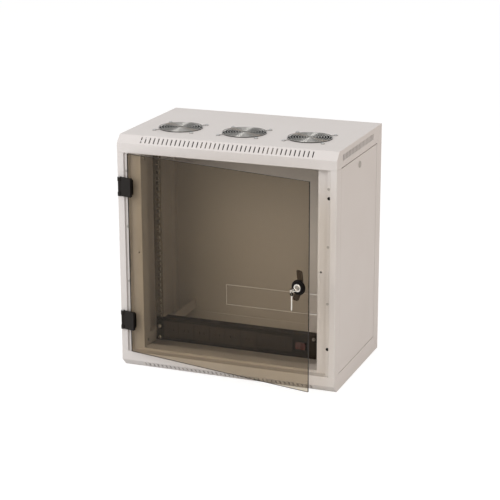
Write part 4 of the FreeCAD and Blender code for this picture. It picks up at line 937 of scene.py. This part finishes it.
@dataclass
class PowerPanel(SubAssembly):
    """Rack-mounted power panel with outlets, surge module, switch, inlet and earth terminal.

    Attributes:
        terminal_x_mm: Place of the earth terminal across the panel.
        terminal_z_mm: Its height.
        terminal_reach_mm: Radius over the corners of its nut.
        stud_steps: Points round its stud.
    """

    terminal_x_mm: float = 209.5
    terminal_z_mm: float = 106.0
    terminal_reach_mm: float = 4.2
    stud_steps: int = 24

    def __post_init__(self) -> None:
        """Name the nodes and what they wear."""
        self.finishes = {
            "power_panel": BLACK_COAT,
            "power_housing": BLACK_COAT,
            "outlet_modules": DARK_POLYCARBONATE,
            "surge_module": DARK_POLYCARBONATE,
            "switch_frame": BLACK_NYLON,
            "switch_rocker": RED_POLYCARBONATE,
            "power_inlet": BLACK_NYLON,
        }
        self.roundings = {"switch_rocker": Rounding(0.8, 2)}

    def build(self) -> None:
        """Model the rack screws and the earth terminal."""
        Fasteners("panel_screws", Head.CROSS, TO_FRONT, NICKEL_PLATE).build()
        self.add_terminal()

    def add_terminal(self) -> None:
        """Add the earth terminal: a washer, a nut and the end of its stud."""
        reach = self.terminal_reach_mm * MM
        outlines = {
            TERMINAL_WASHER: ROUND_STEPS, TERMINAL_NUT: NUT_SIDES, TERMINAL_STUD: self.stud_steps,
        }
        profiles = [(scaled(outline, reach, reach), steps) for outline, steps in outlines.items()]
        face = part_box("power_panel")[0].y
        place = Matrix.Translation((self.terminal_x_mm * MM, face, self.terminal_z_mm * MM)) @ FACING_FRONT
        # The terminal's grey nickel is painted shade.
        add_turned("earth_terminal", profiles, place, SHADED_CAST_NICKEL, BODY_OF["power_panel"])


@dataclass
class RoofFans(SubAssembly):
    """Three axial fans under the roof with wire guards on top.

    Attributes:
        label_radius_mm: Radius of the foil label on each hub.
        label_rise_mm: Thickness of the label.
        label_steps: Points round the label.
    """

    label_radius_mm: float = 21.5
    label_rise_mm: float = 0.3
    label_steps: int = 64

    def __post_init__(self) -> None:
        """Name the nodes and what they wear."""
        for place in ("left", "middle", "right"):
            self.finishes[f"fan_frame_{place}"] = BLACK_POLYESTER
            self.finishes[f"fan_impeller_{place}"] = BLACK_POLYESTER
        self.finishes["fan_guards"] = CHROME_WIRE
        self.finishes["fan_stators"] = STATOR_STACK

    def build(self) -> None:
        """Stick a foil label on each hub and model the screws and nuts."""
        for joint in frame["record"]["behaviour"]["joints"]:
            if joint["child"].startswith("fan_rotor_"):
                self.add_label(joint["child"], joint["pos_m"])
        Fasteners("fan_screws", Head.CROSS, UPWARD, ZINC_PLATE).build()
        Fasteners("fan_nuts", Head.HEXAGON, UPWARD, ZINC_PLATE).build()

    def add_label(self, body: str, centre: list[float]) -> None:
        """Stick the embossed foil label on one hub.

        Args:
            body: The fan's rotor.
            centre: A point on its axis.
        """
        place = body.removeprefix("fan_rotor_")
        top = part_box(f"fan_impeller_{place}")[1].z
        profile = scaled(HUB_LABEL, self.label_radius_mm * MM, self.label_rise_mm * MM)
        at = Matrix.Translation((centre[0], centre[1], top))
        add_turned(f"hub_label_{place}", [(profile, self.label_steps)], at, FOIL, body)


@dataclass
class Door(SubAssembly):
    """Frameless glass door on two clip hinges.

    Attributes:
        edge_break_mm: Width of the broken corners of the pane's edges.
        corner_deg: Edges of the pane that turn more than this are broken.
        broad_facing: Least cosine between a face of the pane and its broad side for clear glass.
    """

    edge_break_mm: float = 0.6
    corner_deg: float = 60.0
    broad_facing: float = 0.99

    def __post_init__(self) -> None:
        """Name the nodes and what they wear."""
        self.finishes = {"hinge_plates": BLACK_NYLON, "hinge_pins": ZINC_PLATE}
        self.finishes |= {"hinge_bolts": ZINC_PLATE, "clip_screws": ZINC_PLATE}
        for height in ("lower", "upper"):
            for piece, rounding in (("clip", Rounding(1.6)), ("bracket", Rounding(0.5))):
                node = f"hinge_{piece}_{height}"
                self.finishes[node] = BLACK_NYLON
                self.roundings[node] = rounding

    def build(self) -> None:
        """Make the pane with ground, slightly broken edges."""
        mesh = clean_copy("door_glass")
        broad = max(mesh.faces, key=lambda face: face.calc_area()).normal.copy()
        least_turn = math.radians(self.corner_deg)
        bevel(mesh, [e for e in mesh.edges if e.calc_face_angle(0.0) > least_turn], self.edge_break_mm, 1)
        for face in mesh.faces:
            face.material_index = 0 if abs(face.normal.dot(broad)) > self.broad_facing else 1
        pane = add_piece("door_glass_ground", mesh, BRONZE_GLASS, BODY_OF["door_glass"])
        pane.data.materials.append(GROUND_EDGE.material())
        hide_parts("door_glass")


@dataclass
class LockSet(SubAssembly):
    """Cam lock in the glass with its keys."""

    def __post_init__(self) -> None:
        """Name the nodes and what they wear."""
        self.finishes = {
            "lock_bezel": BLACK_ACETAL,
            "lock_body": NICKEL_PLATE,
            "lock_nut": ZINC_PLATE,
            "lock_plug": SHADED_CAST_NICKEL,
            "lock_cam": BRONZED_STEEL,
            "lock_cam_screw": ZINC_PLATE,
            "door_key": NICKEL_PLATE,
            "key_ring": NICKEL_PLATE,
            "spare_key": NICKEL_PLATE,
            "spare_key_head": BLACK_ACETAL,
        }
        self.roundings = {
            "lock_bezel": Rounding(0.9, 3),
            "lock_body": Rounding(0.5, 2),
            "spare_key_head": Rounding(0.6, 2),
            "door_key": Rounding(0.4, 2),
        }


@dataclass(frozen=True)
class Softbox:
    """One square softbox.

    Attributes:
        name: Lamp's name.
        place: Where it hangs.
        target: Point that it faces.
        size: Length of its sides.
        watts: Its power.
        colour: Its colour, sRGB hex.
    """

    name: str
    place: Place
    target: Place
    size: float
    watts: float
    colour: str

    def hang(self) -> None:
        """Hang the lamp and turn it to its target."""
        data = bpy.data.lights.new(self.name, "AREA")
        data.size = self.size
        data.energy = self.watts
        data.color = linear(self.colour)[:3]
        lamp = bpy.data.objects.new(self.name, data)
        lamp.location = self.place
        facing = Vector(self.target) - Vector(self.place)
        lamp.rotation_euler = facing.to_track_quat("-Z", "Y").to_euler()
        bpy.context.scene.collection.objects.link(lamp)


SOFTBOXES = (
    Softbox("key_softbox", (-0.8, -3.6, 2.25), (0.0, -0.1, 0.3), 2.4, 71.0, "#FFFEFF"),
    Softbox("front_softbox", (2.0, -3.8, 1.9), (0.0, -0.1, 0.3), 2.0, 17.0, "#FFFEFF"),
    Softbox("top_softbox", (-0.3, -0.2, 3.4), (0.0, 0.0, 0.6), 2.4, 15.0, "#FFFEFF"),
    Softbox("side_softbox", (3.6, 0.6, 1.5), (0.2, 0.0, 0.3), 2.2, 17.0, "#FFD0A0"),
)


@dataclass
class Studio:
    """Camera, floor and lamps.

    Attributes:
        eye: Camera's place.
        yaw_deg: Turn of the view to the left of the rear.
        pitch_deg: Downward tilt of the view.
        roll_deg: Roll of the camera.
        focal_px: Focal length, in pixels of the photograph's frame.
        frame_px: Width of that frame.
        sensor_mm: Width of the camera's sensor.
        floor_half: Half the length of the floor's sides.
        floor_drop_mm: How far the floor lies below the cabinet.
        floor_colour: The floor's own colour, sRGB hex.
        shade_colour: Colour of the floor that takes the cabinet's shade, sRGB hex.
        floor_glow: Light that the floor adds where it shows.
        room_colour: Colour of the room's light, sRGB hex.
        room_light: Strength of the room's light.
    """

    eye: Place = (1.49368, -3.8537, 1.53052)
    yaw_deg: float = 21.244
    pitch_deg: float = 16.530
    roll_deg: float = -0.167
    focal_px: float = 1606.5
    frame_px: float = 500.0
    sensor_mm: float = 36.0
    floor_half: float = 30.0
    floor_drop_mm: float = 0.2
    floor_colour: str = "#E6E5E3"
    shade_colour: str = "#8C8B8A"
    floor_glow: float = 0.86
    room_colour: str = "#FFFEFD"
    room_light: float = 0.54

    def build(self) -> None:
        """Set up the camera, the floor, the lamps and the world."""
        self.camera()
        self.floor()
        self.world()
        for softbox in SOFTBOXES:
            softbox.hang()

    def camera(self) -> None:
        """Place the camera where the photograph was taken from."""
        yaw, pitch, roll = (math.radians(turn) for turn in (self.yaw_deg, self.pitch_deg, self.roll_deg))
        back = Vector((math.sin(yaw) * math.cos(pitch), -math.cos(yaw) * math.cos(pitch), math.sin(pitch)))
        right = Vector((math.cos(yaw), math.sin(yaw), 0.0))
        up = back.cross(right)
        across = math.cos(roll) * right + math.sin(roll) * up
        upward = math.cos(roll) * up - math.sin(roll) * right
        turn = Matrix((across, upward, back)).transposed().to_4x4()
        data = bpy.data.cameras.new("photo_camera")
        data.sensor_width = self.sensor_mm
        data.lens = self.sensor_mm * self.focal_px / self.frame_px
        camera = bpy.data.objects.new("photo_camera", data)
        camera.matrix_world = Matrix.Translation(self.eye) @ turn
        bpy.context.scene.collection.objects.link(camera)
        bpy.context.scene.camera = camera

    @staticmethod
    def shown(tree: bpy.types.NodeTree) -> bpy.types.NodeSocket:
        """Add the test for rays that show the background: straight, reflected or through glass.

        Light that matt surfaces gather isn't among them, also where it comes through the glass.

        Args:
            tree: Node tree that gets the test.

        Returns:
            A socket that is 1 for such rays.
        """
        path = add_node(tree, "ShaderNodeLightPath")
        direct = add_node(
            tree,
            "ShaderNodeMath",
            {"operation": "MAXIMUM"},
            {0: path.outputs["Is Camera Ray"], 1: path.outputs["Is Glossy Ray"]},
        )
        either = add_node(
            tree,
            "ShaderNodeMath",
            {"operation": "MAXIMUM"},
            {0: direct.outputs["Value"], 1: path.outputs["Is Transmission Ray"]},
        )
        seen = add_node(
            tree, "ShaderNodeMath", {"operation": "LESS_THAN", 1: 0.5}, {0: path.outputs["Diffuse Depth"]}
        )
        both = add_node(
            tree,
            "ShaderNodeMath",
            {"operation": "MULTIPLY"},
            {0: either.outputs["Value"], 1: seen.outputs["Value"]},
        )
        return both.outputs["Value"]

    def floor(self) -> None:
        """Lay the pale floor, white where it shows except where the cabinet shades it."""
        made = new_material("pale_studio_floor")
        tree = made.node_tree
        matt = add_node(tree, "ShaderNodeBsdfDiffuse", {"Color": linear(self.floor_colour)})
        dim = add_node(tree, "ShaderNodeBsdfDiffuse", {"Color": linear(self.shade_colour)})
        glow = add_node(tree, "ShaderNodeEmission", {"Color": WHITE, "Strength": self.floor_glow})
        seen = add_node(
            tree, "ShaderNodeAddShader", links={0: dim.outputs["BSDF"], 1: glow.outputs["Emission"]}
        )
        surface = add_node(
            tree,
            "ShaderNodeMixShader",
            links={0: self.shown(tree), 1: matt.outputs["BSDF"], 2: seen.outputs["Shader"]},
        )
        add_node(tree, "ShaderNodeOutputMaterial", links={"Surface": surface.outputs["Shader"]})
        mesh = bpy.data.meshes.new("studio_floor")
        half = self.floor_half
        corners = [(-half, -half, 0), (half, -half, 0), (half, half, 0), (-half, half, 0)]
        mesh.from_pydata(corners, [], [(0, 1, 2, 3)])
        floor = bpy.data.objects.new("studio_floor", mesh)
        floor.location.z = -self.floor_drop_mm * MM
        mesh.materials.append(made)
        bpy.context.scene.collection.objects.link(floor)

    def world(self) -> None:
        """Fill the room with even light and show it as white."""
        world = bpy.data.worlds.new("white_studio")
        world.use_nodes = True
        tree = world.node_tree
        tree.nodes.clear()
        settings = {"Color": linear(self.room_colour), "Strength": self.room_light}
        light = add_node(tree, "ShaderNodeBackground", settings)
        white = add_node(tree, "ShaderNodeBackground", {"Color": WHITE, "Strength": 1.0})
        surface = add_node(
            tree,
            "ShaderNodeMixShader",
            links={0: self.shown(tree), 1: light.outputs["Background"], 2: white.outputs["Background"]},
        )
        add_node(tree, "ShaderNodeOutputWorld", links={"Surface": surface.outputs["Shader"]})
        bpy.context.scene.world = world


def main() -> None:
    """Dress the cabinet and set up the studio."""
    logging.basicConfig(level=logging.INFO, format="%(message)s")
    bpy.context.scene.view_settings.view_transform = "Standard"
    for part in (Carcass(), SidePanels(), RackFrame(), PowerPanel(), RoofFans(), Door(), LockSet()):
        part.build()
        part.dress()
    Studio().build()


if __name__ == "__main__":
    main()
